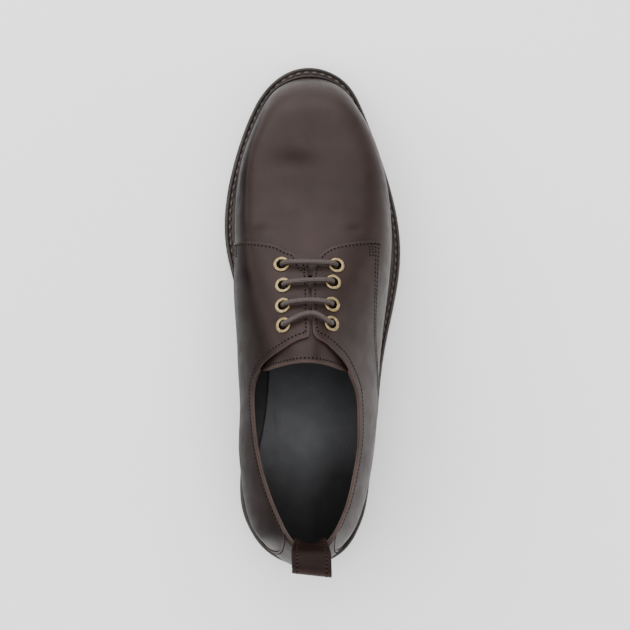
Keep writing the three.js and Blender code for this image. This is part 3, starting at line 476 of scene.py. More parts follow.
def shader(name, colour, roughness, metallic=0.0, coat=0.0, coat_roughness=0.2):
    material = bpy.data.materials.new(name)
    material.use_nodes = True
    for label, value in (("Base Color", (*colour, 1)), ("Roughness", roughness), ("Metallic", metallic),
                         ("Coat Weight", coat), ("Coat Roughness", coat_roughness)):
        set_body(material, label, value)
    return material


class Dyeing:
    """Adds the nodes of a dyed, grained or worn finish to a material."""

    def __init__(self, material):
        self.new = material.node_tree.nodes.new
        self.link = material.node_tree.links.new
        self.body = material.node_tree.nodes["Principled BSDF"]
        self.place = self.new("ShaderNodeTexCoord").outputs["Object"]
        self.normal = None

    def noise(self, size, detail=3.0):
        """Clouds whose patches are about so many millimetres wide."""
        node = self.new("ShaderNodeTexNoise")
        self.link(self.place, node.inputs["Vector"])
        node.inputs["Scale"].default_value = 1 / (size * MM)
        node.inputs["Detail"].default_value = detail
        return node.outputs["Fac"]

    def cells(self, size):
        """Leather grain: cells of about so many millimetres."""
        node = self.new("ShaderNodeTexVoronoi")
        node.feature = "SMOOTH_F1"
        self.link(self.place, node.inputs["Vector"])
        node.inputs["Scale"].default_value = 1 / (size * MM)
        return node.outputs["Distance"]

    def value(self, label):
        node = self.new("ShaderNodeAttribute")
        node.attribute_name = label
        return node.outputs["Fac"]

    def spread(self, source, low, high, start=0.35, end=0.65):
        node = self.new("ShaderNodeMapRange")
        self.link(source, node.inputs["Value"])
        for label, value in (("From Min", start), ("From Max", end), ("To Min", low), ("To Max", high)):
            node.inputs[label].default_value = value
        return node.outputs["Result"]

    def sum(self, operation, a, b):
        node = self.new("ShaderNodeMath")
        node.operation = operation
        for socket, given in zip(node.inputs, (a, b)):
            if isinstance(given, (int, float)):
                socket.default_value = given
            else:
                self.link(given, socket)
        return node.outputs["Value"]

    def mix(self, factor, a, b):
        node = self.new("ShaderNodeMix")
        node.data_type = "RGBA"
        self.link(factor, node.inputs[0])
        for socket, given in ((node.inputs[6], a), (node.inputs[7], b)):
            if isinstance(given, tuple):
                socket.default_value = (*given, 1)
            else:
                self.link(given, socket)
        return node.outputs[2]

    def colour(self, output):
        self.link(output, self.body.inputs["Base Color"])

    def roughness(self, output):
        self.link(output, self.body.inputs["Roughness"])

    def bump(self, height, depth, strength=1.0):
        """Relief of a height so many millimetres deep, over what is there already."""
        node = self.new("ShaderNodeBump")
        self.link(height, node.inputs["Height"])
        node.inputs["Distance"].default_value = depth * MM
        node.inputs["Strength"].default_value = strength
        if self.normal:
            self.link(self.normal, node.inputs["Normal"])
        self.normal = node.outputs["Normal"]
        self.link(self.normal, self.body.inputs["Normal"])


def dyed_leather(name, dark, light, worn, painted_shade_colour, roughness, grain, depth, coat=0.0):
    """Leather with cloudy dye, a cell grain, lighter worn places and darker places of painted shade."""
    material = shader(name, dark, roughness, coat=coat, coat_roughness=0.25)
    dye = Dyeing(material)
    clouds = dye.spread(dye.noise(26, 4), 0, 1)
    flecks = dye.noise(1.6, 2)
    tone = dye.mix(clouds, dark, light)
    rubbed = dye.sum("MULTIPLY", dye.value("worn"), dye.spread(flecks, 0.55, 1.0))
    tone = dye.mix(rubbed, tone, worn)
    # Painted shade: the colour darkens where the piece's shade attribute is set
    tone = dye.mix(dye.value("painted_shade"), tone, painted_shade_colour)
    dye.colour(tone)
    # Less specular shine under the painted shade, so its reflections darken too
    dye.link(dye.spread(dye.value("painted_shade"), 0.30, 0.04, 0, 1), dye.body.inputs["Specular IOR Level"])
    dye.roughness(dye.sum("ADD", dye.spread(dye.noise(7, 3), roughness - 0.04, roughness + 0.05),
                          dye.sum("MULTIPLY", rubbed, 0.15)))
    dye.bump(dye.noise(9, 2), 0.22, 0.5)
    dye.bump(dye.cells(grain), depth, 0.5)
    return material


calf = dyed_leather("polished brown calf", (0.0120, 0.0068, 0.0059), (0.0200, 0.0118, 0.0103),
                    (0.044, 0.026, 0.0205), (0.0052, 0.0022, 0.0018), 0.44, 0.5, 0.035)
set_body(calf, "IOR", 1.40)
set_body(calf, "Specular Tint", (1.0, 0.88, 0.86, 1))
cut_edge = dyed_leather("cut leather edge", (0.028, 0.0165, 0.0135), (0.052, 0.032, 0.026),
                        (0.060, 0.040, 0.033), (0.012, 0.008, 0.0065), 0.72, 0.35, 0.06)
lining_black = dyed_leather("black lining", (0.0065, 0.0065, 0.007), (0.011, 0.011, 0.012),
                            (0.05, 0.04, 0.035), (0.004, 0.004, 0.004), 0.6, 0.6, 0.04)
sock_grey = dyed_leather("dark grey sock leather", (0.031, 0.0315, 0.034), (0.044, 0.0445, 0.048),
                         (0.045, 0.045, 0.048), (0.007, 0.007, 0.008), 0.50, 1.1, 0.13)
sole_black = dyed_leather("black sole rubber", (0.0075, 0.0070, 0.0068), (0.012, 0.011, 0.0105),
                          (0.03, 0.028, 0.026), (0.005, 0.005, 0.005), 0.62, 0.8, 0.04)
welt_dark = dyed_leather("dark welt", (0.015, 0.0110, 0.0098), (0.030, 0.0215, 0.0190),
                         (0.05, 0.03, 0.024), (0.004, 0.003, 0.003), 0.48, 0.5, 0.05)
heel_dark = dyed_leather("waxed heel stack", (0.010, 0.0075, 0.0065), (0.019, 0.013, 0.0105),
                         (0.05, 0.035, 0.028), (0.005, 0.004, 0.004), 0.40, 0.5, 0.04, coat=0.2)
thread = shader("brown thread", (0.034, 0.021, 0.0175), 0.9)
thread_welt = shader("waxed welt thread", (0.034, 0.025, 0.022), 0.5)
# Painted shade: near-black beads stand for the shadowed needle holes
painted_hole_shade = shader("stitch hole shade", (0.0018, 0.0012, 0.0011), 0.95)
hole_red = shader("welt hole", (0.040, 0.014, 0.009), 0.8)
# Painted shade: a near-black disc stands for each eyelet's shadowed bore
painted_bore_shade = shader("eyelet bore shade", (0.002, 0.0018, 0.0018), 0.9)
for dull, shine in ((thread, 0.15), (painted_hole_shade, 0.05), (painted_bore_shade, 0.05)):
    set_body(dull, "Specular IOR Level", shine)

antique = shader("antique gold", (0.44, 0.34, 0.20), 0.45, metallic=1.0)
rub = Dyeing(antique)
rub.colour(rub.mix(rub.spread(rub.noise(1.4, 3), 0, 1), (0.20, 0.145, 0.072), (0.34, 0.26, 0.14)))
rub.roughness(rub.spread(rub.noise(0.8, 2), 0.40, 0.56))


def braided_cord():
    """Waxed braid: strands cross on the cord's own UV, its length in centimetres and its turn."""
    material = shader("waxed brown braid", (0.085, 0.058, 0.050), 0.55)
    dye = Dyeing(material)
    uv = dye.new("ShaderNodeUVMap")
    uv.uv_map = "cord"
    split = dye.new("ShaderNodeSeparateXYZ")
    dye.link(uv.outputs["UV"], split.inputs["Vector"])
    along = dye.sum("MULTIPLY", split.outputs["X"], 2 * np.pi * 6.0)
    round_cord = dye.sum("MULTIPLY", split.outputs["Y"], 2 * np.pi * 5)
    strands = dye.sum("MULTIPLY", dye.sum("SINE", dye.sum("ADD", along, round_cord), 0.0),
                      dye.sum("SINE", dye.sum("SUBTRACT", along, round_cord), 0.0))
    # Painted light and shade: the strands' tops lighter, the gaps between them darker
    lit = dye.spread(strands, 0.0, 1.0, -0.8, 0.8)
    dye.colour(dye.mix(lit, (0.010, 0.0056, 0.0045), (0.052, 0.032, 0.026)))
    dye.bump(strands, 0.14, 0.9)
    return material


braid = braided_cord()


# Node groups that set one shape on every place of a piece

def start_group(name, numbers):
    tree = bpy.data.node_groups.new(name, "GeometryNodeTree")
    face = tree.interface
    face.new_socket("Places", in_out="INPUT", socket_type="NodeSocketGeometry")
    for label in numbers:
        face.new_socket(label, in_out="INPUT", socket_type="NodeSocketFloat")
    face.new_socket("Finish", in_out="INPUT", socket_type="NodeSocketMaterial")
    face.new_socket("Pieces", in_out="OUTPUT", socket_type="NodeSocketGeometry")
    return tree, tree.nodes.new("NodeGroupInput")


def set_on_places(tree, given, shape, size, turns):
    """Copies of a shape on the places, each axis in turn laid along that place's own vector."""
    new = tree.nodes.new
    link = tree.links.new
    spread = new("GeometryNodeInstanceOnPoints")
    link(given.outputs["Places"], spread.inputs["Points"])
    link(shape, spread.inputs["Instance"])
    link(size, spread.inputs["Scale"])
    turned = None
    for label, axis in turns:
        field = new("GeometryNodeInputNamedAttribute")
        field.data_type = "FLOAT_VECTOR"
        field.inputs["Name"].default_value = label
        align = new("FunctionNodeAlignRotationToVector")
        align.axis = axis
        align.pivot_axis = "AUTO" if turned is None else "Z"
        link(field.outputs["Attribute"], align.inputs["Vector"])
        if turned:
            link(turned, align.inputs["Rotation"])
        turned = align.outputs["Rotation"]
    link(turned, spread.inputs["Rotation"])
    real = new("GeometryNodeRealizeInstances")
    link(spread.outputs["Instances"], real.inputs["Geometry"])
    finish = new("GeometryNodeSetMaterial")
    link(real.outputs["Geometry"], finish.inputs["Geometry"])
    link(given.outputs["Finish"], finish.inputs["Material"])
    link(finish.outputs["Geometry"], new("NodeGroupOutput").inputs["Pieces"])
    return tree


STITCH_SIZES = ("Stitch Length", "Thread Width", "Thread Height")


def stitch_tree():
    """One rounded stitch or hole on every place, lying along 'run' and facing along 'facing'."""
    tree, given = start_group("stitch row", STITCH_SIZES)
    bead = tree.nodes.new("GeometryNodeMeshUVSphere")
    bead.inputs["Segments"].default_value = 8
    bead.inputs["Rings"].default_value = 5
    bead.inputs["Radius"].default_value = 0.5
    size = tree.nodes.new("ShaderNodeCombineXYZ")
    for label, axis in zip(STITCH_SIZES, "XYZ"):
        tree.links.new(given.outputs[label], size.inputs[axis])
    return set_on_places(tree, given, bead.outputs["Mesh"], size.outputs["Vector"],
                         (("facing", "Z"), ("run", "X")))


def made_by(piece, tree, values):
    """Runs a tree on a piece with the given inputs and keeps the result as a plain mesh."""
    modifier = piece.modifiers.new(tree.name, "NODES")
    modifier.node_group = tree
    for item in tree.interface.items_tree:
        if item.item_type == "SOCKET" and item.in_out == "INPUT" and item.name in values:
            modifier[item.identifier] = values[item.name]
    finished(piece)
    piece.data.shade_smooth()
    return piece


stitch_row = stitch_tree()


def sew(spots, normals, pitch, between=False):
    """Places along a path at an even pitch, or half way between them: spot, run and normal."""
    run = lengths(spots)
    count = max(int(round(run[-1] / pitch)), 1)
    where = (np.arange(count + 1) if between else np.arange(count) + 0.5) / count * run[-1]
    heading = np.gradient(spots, axis=0)
    return np.stack([along_path(values, run, where) for values in (spots, heading, normals)], axis=1)


def over_last(grid, out):
    """Spots, normals and relief at (turn, phi) places of leather that stands so far off the last."""
    normals = last_normal(grid[..., 0], grid[..., 1])
    spots = last_point(grid[..., 0], grid[..., 1]) + normals * out
    rise = relief(spots)
    return spots + normals * rise[..., None], normals, rise


def stitches(name, rows, sunk, size, material, node):
    """All rows of one kind as one piece, each stitch sunk into the leather by some millimetres."""
    places = np.concatenate(rows)
    piece = mesh_piece(name, places[:, 0] - places[:, 2] * sunk, [], [])
    give_values(piece, "run", "FLOAT_VECTOR", places[:, 1])
    give_values(piece, "facing", "FLOAT_VECTOR", places[:, 2])
    made_by(piece, stitch_row, {**{label: value * MM for label, value in zip(STITCH_SIZES, size)},
                                "Finish": material})
    return add(piece, node)


STITCH_SUNK = 0.05
STITCH_SIZE = (1.35, 0.5, 0.42)
HOLE_SIZE = (1.10, 0.95, 0.30)


def sewn(name, lines, node):
    """Thread and needle holes along lines of (spots, normals, pitch); the holes are near-black beads of
    painted shade.
    """
    for kind, sunk, size, material in (("stitches", STITCH_SUNK, STITCH_SIZE, thread),
                                       ("holes", 0.0, HOLE_SIZE, painted_hole_shade)):
        rows = [sew(*line, between=kind == "holes") for line in lines]
        stitches(f"{name}_{kind}", rows, sunk, size, material, node)


# Upper: lines on the last
LIFT = 0.2
SIDES = {1: "medial", -1: "lateral"}


def foot_path(first, last_at, side, count=60):
    turn = np.linspace(turn_at(first), turn_at(last_at), count)
    return np.stack([turn, on_side(foot_angle(turn, LIFT), side)], axis=1)


def seam_path(side, back=0.0, above=0.0, count=60):
    """Side seam from the welt up to the facing's tab corner, or a line back of and above it."""
    at = np.linspace(SIDE_SEAM[0, 0], SIDE_SEAM[-1, 0], 400)
    height = side_seam[side](at) + above
    turn = turn_at(at - back)
    clear = height > feather((at - back) * LAST_LENGTH) - LIFT
    phi = on_side(angle_at(turn, height), side)
    return even_over_last(np.stack([turn, phi], axis=1)[clear], count)


def facing_front(side, off):
    return FACING_FRONT - facing_back[side](off / FACING_SPREAD)


def plan_path(x, y):
    turn = turn_at(x / LAST_LENGTH)
    return np.stack([turn, angle_over(turn, y)], axis=1)


def quarter_outline(side):
    """Bottom, top, back and front edges of one quarter."""
    foot = seam_path(side)
    bottom = np.concatenate([foot_path(0.0, at_turn(foot[0, 0]), side)[:-1], foot])
    at = at_turn(np.linspace(0, turn_at(0.4615), 120))
    turn = turn_at(at)
    phi = on_side(angle_at(turn, topline[side](at)), side)
    clear = (last_point(turn, phi)[:, 1] - SLOT_CENTRE) * side > SLOT_WIDTH / 2 + 0.4
    rim = np.stack([turn, phi], axis=1)[clear]
    opening = FACING_EDGE[0, 0] * FACING_SPREAD
    xs = np.linspace(last_point(rim[-1, 0], rim[-1, 1])[0] + 2.5, facing_front(side, opening), 40)
    slot = plan_path(xs, np.full(xs.shape, SLOT_CENTRE + side * opening))
    top = np.concatenate([rim, slot])
    tab = last_point(bottom[-1, 0], bottom[-1, 1])
    reach = abs(tab[1] - SLOT_CENTRE)
    off = opening + (reach - opening) * (1 - np.cos(np.linspace(0, np.pi / 2, 120)))
    front = plan_path(facing_front(side, off), SLOT_CENTRE + side * off)[::-1]
    front[0] = bottom[-1]
    back = np.stack([np.zeros(40), np.linspace(bottom[0, 1], top[0, 1], 40)], axis=1)
    return bottom, top, back, front


# Thickness of each leather
SHEET = {"quarter": 1.1, "vamp": 1.5, "lining": 1.1, "tongue": 1.6, "insole": 2.8, "sock": 1.1}
ALONG = 200
UP = 76
outlines = {side: quarter_outline(side) for side in SIDES}
upper_pieces = []


# Strength of the painted shade at each place, and how far it reaches
WELT_SHADE = 0.6
WELT_SHADE_REACH = 6.5
HEEL_SHADE = 0.22
HEEL_SHADE_TO = 40
INNER_SHADE = 0.85
INNER_FROM = 0.66
DENT_SHADE = 0.55


def painted_shade_at(points, normals, rise=0):
    """Painted shade: darker just over the welt, at the heel, on the inner side and down in the dents."""
    above = np.maximum(points[..., 2] - feather(points[..., 0]), 0)
    welt = WELT_SHADE * np.exp(-above / WELT_SHADE_REACH)
    heel = HEEL_SHADE * smooth((HEEL_SHADE_TO - points[..., 0]) / 35)
    inner = INNER_SHADE * smooth((normals[..., 1] - INNER_FROM) / 0.16)
    return np.clip(welt + heel + inner + DENT_SHADE * np.maximum(-rise, 0), 0, 1)


# Wear along the topline and, less, along the facing's front
rubbed = np.zeros((ALONG, UP))
rubbed[:, -1] = 0.7
rubbed[-1, :] = 0.3
for side, name in SIDES.items():
    bottom, top, back, front = outlines[side]
    grid = eased(patch(even_over_last(bottom, ALONG), even_over_last(top, ALONG),
                       even_over_last(back, UP), even_over_last(front, UP)))
    outer, normals, rise = over_last(grid, FACING_OUT)
    upper_pieces.append(leather_sheet(
        f"quarter_{name}", outer, normals, SHEET["quarter"], [calf, lining_black, cut_edge],
        worn=rubbed, painted_shade=painted_shade_at(outer, normals, rise) * (1 - rubbed)))

# Vamp, from under the quarters to the toe
ACROSS = 190
FORWARD = 130
VAMP_REAR = 149.5


def vamp_grid():
    rear_turn = turn_at(VAMP_REAR / LAST_LENGTH)
    rear = []
    for side in SIDES:
        seam = seam_path(side, 0.02, 5.0)
        seam = seam[seam[:, 0] < rear_turn]
        seam[0, 1] = on_side(foot_angle(seam[0, 0], LIFT), side)
        rear.append(seam if side == 1 else seam[::-1])
    ends = rear[0][-1], rear[1][0]
    straight = np.stack([np.full(60, rear_turn), np.linspace(ends[0][1], ends[1][1], 62)[1:-1]], axis=1)
    edge = even_over_last(np.concatenate([rear[0], straight, rear[1]]), ACROSS)
    feet = foot_angle(edge[:, 0], LIFT)
    share = (edge[:, 1] - feet) / (np.pi - 2 * feet)
    t = np.linspace(0, 1, FORWARD)[:, None]
    turn = edge[None, :, 0] + (np.pi - edge[None, :, 0]) * t
    foot = foot_angle(turn, LIFT)
    return np.stack([turn, foot + share * (np.pi - 2 * foot)], axis=-1)


outer, normals, rise = over_last(vamp_grid(), WALL)
upper_pieces.append(leather_sheet("vamp", outer, normals, SHEET["vamp"],
                                  [calf, lining_black, lining_black], bevel=0,
                                  painted_shade=painted_shade_at(outer, normals, rise)))

# Lining of the quarters, cut back beside the tongue
LINING_OUT = 1.45


def lining_grid(side):
    bottom, top, back, _ = outlines[side]
    seam = bottom[bottom[:, 0] < turn_at(0.60)]
    rim = top[last_point(top[:, 0], top[:, 1])[:, 0] < TONGUE_TIP + 3]
    x, y, _ = last_point(rim[-1, 0], rim[-1, 1])
    xs = np.linspace(x + 0.5, THROAT_LINE - 4, 60)
    tongue_side = SLOT_CENTRE + side * (TONGUE_WIDTH / 2 + 0.6) + (TONGUE_CENTRE - SLOT_CENTRE) * (
        THROAT_LINE - xs) / (THROAT_LINE - TONGUE_TIP)
    ys = y + (tongue_side - y) * smooth((xs - x) / 12)
    top = np.concatenate([rim, plan_path(xs, ys)])
    front = np.linspace(seam[-1], top[-1], 40)
    return eased(patch(even_over_last(seam, 130), even_over_last(top, 130), even_over_last(back, 50),
                       even_over_last(front, 50)))


for side, name in SIDES.items():
    grid = lining_grid(side)
    normals = last_normal(grid[..., 0], grid[..., 1])
    outer = surface(grid[..., 0], grid[..., 1], np.full(grid.shape[:2], LINING_OUT))
    upper_pieces.append(leather_sheet(f"lining_{name}", outer, normals, SHEET["lining"],
                                      [lining_black, lining_black, cut_edge]))


# Backstay, centred on the last's back line
def backstay_grid():
    rows, columns = 70, 60
    share = np.linspace(0, 1, rows)[:, None]
    w = np.linspace(-1, 1, columns)[None, :]
    side = np.where(w < 0, -1, 1)
    low = np.zeros((rows, columns))
    high = np.full((rows, columns), turn_at(0.2))

    def spot_at(turn):
        at = at_turn(turn)
        foot = feather(at * LAST_LENGTH) - LIFT
        top = np.where(side > 0, topline[1](at), topline[-1](at))
        z = foot + (top - foot) * share
        phi = angle_at(turn, z)
        phi = np.where(side > 0, phi, np.pi - phi)
        return last_point(turn, phi), phi

    axis = spot_at(np.zeros((rows, columns)))[0][..., 1]
    for _ in range(40):
        turn = (low + high) / 2
        spot, phi = spot_at(turn)
        half = backstay_half(spot[..., 2] / INSTEP_HEIGHT)
        wide = (spot[..., 1] - axis) * side > np.abs(w) * half
        high = np.where(wide, turn, high)
        low = np.where(wide, low, turn)
    return np.stack([turn, phi], axis=-1)


backstay = backstay_grid()
normals = last_normal(backstay[..., 0], backstay[..., 1])
outer = surface(backstay[..., 0], backstay[..., 1], np.full(backstay.shape[:2], BACKSTAY_OUT))
upper_pieces.append(leather_sheet("backstay", outer, normals, BACKSTAY_STEP + 0.3,
                                  [calf, lining_black, cut_edge], painted_shade=painted_shade_at(outer, normals)))
for piece in upper_pieces:
    add(piece, "upper")

# Seams of the upper: each line's distance in from its edge, and its pitch
TOPLINE_START = 14.0
TACKS = (5.4, 7.0)
TACK_SPAN = (1.6, 7.4)
lines = []
for side in SIDES:
    bottom, top, back, front = outlines[side]
    middle = patch(even_over_last(bottom, 9), even_over_last(top, 9), even_over_last(back, 9),
                   even_over_last(front, 9))[4, 4]
    seam = seam_path(side)
    rim = top[lengths(last_point(top[:, 0], top[:, 1])) > TOPLINE_START]
    for path, far, pitch in ((rim, 1.7, 2.1), (front, 1.7, 2.1), (seam, 1.8, 2.2), (seam, 3.6, 2.2)):
        line = inset(even_over_last(path, 160), far, middle)[3:-3]
        lines.append((*over_last(line, FACING_OUT)[:2], pitch))
    edge = even_over_last(front, 160)
    edge = edge if edge[0, 0] == seam[-1, 0] else edge[::-1]
    spots = last_point(edge[:, 0], edge[:, 1])
    for far in TACKS:
        x, y, _ = spots[np.argmax(lengths(spots) > far)]
        tack = plan_path(x - np.linspace(*TACK_SPAN, 20), np.full(20, y))
        lines.append((*over_last(tack, FACING_OUT)[:2], 1.45))
for column in (2, -3):
    lines.append((*over_last(backstay[6:, column], BACKSTAY_OUT)[:2], 2.2))
sewn("upper", lines, "upper")

# Tongue: its plan outline from the throat back, and its rear edge from the middle to a corner
TONGUE_SIDE = np.array([[0.0, 0.68], [0.40, 0.90], [0.75, 1.02], [0.965, 1.18]])
TONGUE_REAR = np.array([[0.0, 0.918], [0.12, 0.92], [0.35, 0.935], [0.70, 0.98], [0.95, 1.0],
                        [1.0, 0.995]])
TONGUE_FROM = 0.13


def tongue_plan(back, half):
    front = THROAT_LINE - 0.4
    x = front - back * (front - TONGUE_TIP)
    middle = SLOT_CENTRE + (TONGUE_CENTRE - SLOT_CENTRE) * back
    return np.stack([x, middle + half * TONGUE_WIDTH / 2], axis=-1)


def tongue_grid():
    rows, columns = 100, 64
    back = np.linspace(TONGUE_FROM, TONGUE_SIDE[-1, 0], rows)
    side_half = natural_spline(TONGUE_SIDE[:, 0], TONGUE_SIDE[:, 1])(back)
    w = np.linspace(1, -1, columns)
    rear = natural_spline(TONGUE_REAR[:, 0], TONGUE_REAR[:, 1])(np.abs(w))
    plan = patch(tongue_plan(back, side_half), tongue_plan(back, -side_half),
                 tongue_plan(np.full(columns, TONGUE_FROM), w * side_half[0]),
                 tongue_plan(rear, w * side_half[-1]))
    share = np.linspace(0, 1, rows)[:, None]
    # Its middle off the last, less where it runs under the vamp and at the tip's corners
    out = (1.15 - 1.2 * (1 - smooth(share / 0.12))
           - 2.6 * smooth((share - 0.55) / 0.4) * (0.25 + 0.75 * w[None, :] ** 2))
    turn = turn_at(plan[..., 0] / LAST_LENGTH)
    phi = angle_over(turn, plan[..., 1])
    return surface(turn, phi, out), last_normal(turn, phi)


outer, normals = tongue_grid()
worn = np.zeros(outer.shape[:2])
worn[-3:, :] = 0.8
add(leather_sheet("tongue", outer, normals, SHEET["tongue"], [calf, calf, cut_edge], worn=worn),
    "tongue")
sewn("tongue", [(outer[-6, 4:-4], normals[-6, 4:-4], 2.1)], "tongue")


# Bottom: outsole, heel, welt, insole

def sole_loop(first=-SOLE_BACK, final=SOLE_TIP, count=300):
    """Plan outline as a closed loop, medial side first."""
    turn = np.linspace(turn_at((first + SOLE_BACK) / SOLE_LENGTH),
                       turn_at((final + SOLE_BACK) / SOLE_LENGTH), count)
    at = at_turn(turn)
    x = at * SOLE_LENGTH - SOLE_BACK
    medial = np.stack([x, sole_centre(at) + sole_half(at)], axis=1)
    lateral = np.stack([x, sole_centre(at) - sole_half(at)], axis=1)
    return np.concatenate([medial, lateral[-2:0:-1]])


def foot_loop(count=300):
    turn = np.linspace(0, np.pi, count)
    foot = foot_angle(turn)
    medial = last_point(turn, foot)[:, :2]
    lateral = last_point(turn, np.pi - foot)[:, :2]
    return np.concatenate([medial, lateral[-2:0:-1]])


def inward(loop, distance):
    along = np.roll(loop, -1, axis=0) - np.roll(loop, 1, axis=0)
    along = along / np.maximum(np.linalg.norm(along, axis=1, keepdims=True), 1e-9)
    distance = np.broadcast_to(distance, (len(loop),))[:, None]
    return loop + np.stack([along[:, 1], -along[:, 0]], axis=1) * distance


def raised(flat, height):
    """Plan points with their heights."""
    return np.concatenate([flat, height[:, None]], axis=1)


def outward_faces(piece):
    work = bmesh.new()
    work.from_mesh(piece.data)
    bmesh.ops.remove_doubles(work, verts=work.verts, dist=1e-6)
    bmesh.ops.recalc_face_normals(work, faces=work.faces)
    work.to_mesh(piece.data)
    work.free()
    piece.data.shade_smooth()
    return piece


def layered(name, layers, material, caps=True):
    """Solid through loops of points, closed by flat strips or turned back into a ring."""
    count = len(layers[0])
    faces = grid_faces(len(layers), count, wrap_columns=True, wrap_rows=not caps)
    if caps:
        for base in (0, (len(layers) - 1) * count):
            for i in range(count // 2):
                l0, l1 = (count - i) % count, (count - i - 1) % count
                faces.append((base + i, base + i + 1, base + l1, base + l0))
    faces = [face for face in (tuple(dict.fromkeys(face)) for face in faces) if len(face) > 2]
    return outward_faces(mesh_piece(name, np.concatenate(layers), faces, [material]))


def stacked(name, loop, profile, material, caps=True):
    """Solid whose profile gives distances in from a loop, each with its height function."""
    flats = [inward(loop, distance) for distance, _ in profile]
    layers = [raised(flat, height(flat[:, 0])) for flat, (_, height) in zip(flats, profile)]
    return layered(name, layers, material, caps)


outline = sole_loop()
add(stacked("outsole", outline, [
    (1.2, sole_rise),
    (0.5, lambda x: sole_rise(x) + 0.15),
    (0.1, lambda x: sole_rise(x) + 0.6),
    (0.0, lambda x: sole_rise(x) + 1.2),
    (0.0, lambda x: outsole_top(x) - 0.5),
    (0.25, lambda x: outsole_top(x) - 0.1),
    (0.8, outsole_top),
], sole_black), "outsole")

upper_foot = foot_loop()
share = upper_foot[:, 0] / LAST_LENGTH
foot_reach = (WALL + QUARTER_STEP * (1 - smooth((share - 0.29) / 0.05))
              + BACKSTAY_STEP * (1 - smooth((share - 0.07) / 0.05)) + 0.35)
add(stacked("welt_bead", upper_foot, [
    (-foot_reach - 1.6, lambda x: welt_top(x) - 0.6),
    (-foot_reach - 1.5, lambda x: welt_top(x) + 0.4),
    (-foot_reach - 1.1, lambda x: welt_top(x) + 0.9),
    (-foot_reach - 0.7, lambda x: welt_top(x) + 1.1),
    (-foot_reach - 0.3, lambda x: welt_top(x) + 0.9),
    (-foot_reach, lambda x: welt_top(x) + 0.4),
    (-foot_reach, lambda x: welt_top(x) - 0.6),
], welt_dark, caps=False), "welt")
GROOVE = 0.55
add(stacked("welt", outline, [
    (0.9, lambda x: outsole_top(x) + 0.3),
    (0.6, lambda x: outsole_top(x) + 0.8),
    (0.55, lambda x: welt_top(x) - 0.9),
    (0.75, lambda x: welt_top(x) - 0.3),
    (1.1, lambda x: welt_top(x) - 0.05),
    (1.6, welt_top),
    (1.9, lambda x: welt_top(x) - 0.1),
    (2.1, lambda x: welt_top(x) - GROOVE),
    (4.1, lambda x: welt_top(x) - GROOVE),
    (4.4, lambda x: welt_top(x) - 0.1),
    (14.0, welt_top),
    (14.0, lambda x: outsole_top(x) + 0.3),
], welt_dark, caps=False), "welt")

WELT_LINE = 3.05
WELT_PITCH = 4.4
WELT_SEWN_FROM = 30
WELT_STITCH_SIZE = (3.5, 1.75, 0.95)
WELT_HOLE_SIZE = (1.0, 1.5, 0.35)
line = inward(outline, WELT_LINE)
line = line[line[:, 0] > WELT_SEWN_FROM]
line = raised(line, welt_top(line[:, 0]) - GROOVE)
ups = np.tile([0.0, 0.0, 1.0], (len(line), 1))
stitches("welt_stitches", [sew(line, ups, WELT_PITCH)], -0.12, WELT_STITCH_SIZE, thread_welt, "welt")
stitches("welt_holes", [sew(line, ups, WELT_PITCH, between=True)], -0.02, WELT_HOLE_SIZE, hole_red, "welt")

HEEL_BREAST = 0.267 * LAST_LENGTH
BREAST_RAKE = 3.0
# Share of a lift's height, and the groove's depth there
LIFT_EDGE = ((0.0, 0.35), (0.06, 0.05), (0.12, 0.0), (0.88, 0.0), (0.94, 0.05), (1.0, 0.35))


def heel_layers(low, high, draw_in, lifts):
    """Loops of a heel block, with a fine groove between its lifts and a raked breast."""
    loop = sole_loop(-SOLE_BACK, HEEL_BREAST + BREAST_RAKE, 160)
    layers = []
    for lift in range(lifts):
        for part, groove in LIFT_EDGE:
            up = (lift + part) / lifts
            flat = inward(loop, 0.6 + draw_in + 0.35 * (1 - up) + groove)
            z = low(flat[:, 0]) * (1 - up) + high(flat[:, 0]) * up
            breast = HEEL_BREAST - BREAST_RAKE * (1 - z / SEAT_RISE) - groove
            flat = np.stack([np.minimum(flat[:, 0], breast), flat[:, 1]], axis=1)
            z = low(flat[:, 0]) * (1 - up) + high(flat[:, 0]) * up
            layers.append(raised(flat, z))
    return layers


TOP_PIECE = 6.0
STACK_FROM = TOP_PIECE + SEAM
stack = heel_layers(lambda x: np.full(np.shape(x), STACK_FROM), lambda x: sole_rise(x) - SEAM, 0.0, 3)
add(layered("heel_stack", stack, heel_dark), "heel_block")
top_piece = heel_layers(lambda x: np.zeros(np.shape(x)), lambda x: np.full(np.shape(x), TOP_PIECE), 0.35, 1)
add(layered("heel_top", top_piece, sole_black), "heel_top_piece")

# Insole with the grey sock on it. The sock is cut narrower on the inner side of the waist.
SOCK_EDGE = natural_spline(np.array([0, 30, 50, 62, 75, 90, 105, 125, 150, 190]),
                           np.array([40, 36, 30, 27, 24.5, 22.8, 22.0, 24, 30, 45]))


def insole_grid(rows, columns, above, short, sock):
    turn = np.linspace(short, np.pi - short, rows)
    x = at_turn(turn) * LAST_LENGTH
    phi = angle_at(turn, feather(x) + above)
    medial = surface(turn, phi, np.full(rows, -0.4))
    lateral = surface(turn, np.pi - phi, np.full(rows, -0.4))
    if sock:
        share = np.clip((medial[:, 1] - SOCK_EDGE(x)) / (medial[:, 1] - lateral[:, 1]), 0, 1)[:, None]
        medial = medial * (1 - share) + lateral * share
    w = np.linspace(0, 1, columns)[None, :, None]
    across = medial[:, None, :] * (1 - w) + lateral[:, None, :] * w
    across[..., 2] -= 0.45 * (1 - (2 * w[..., 0] - 1) ** 2)
    return across


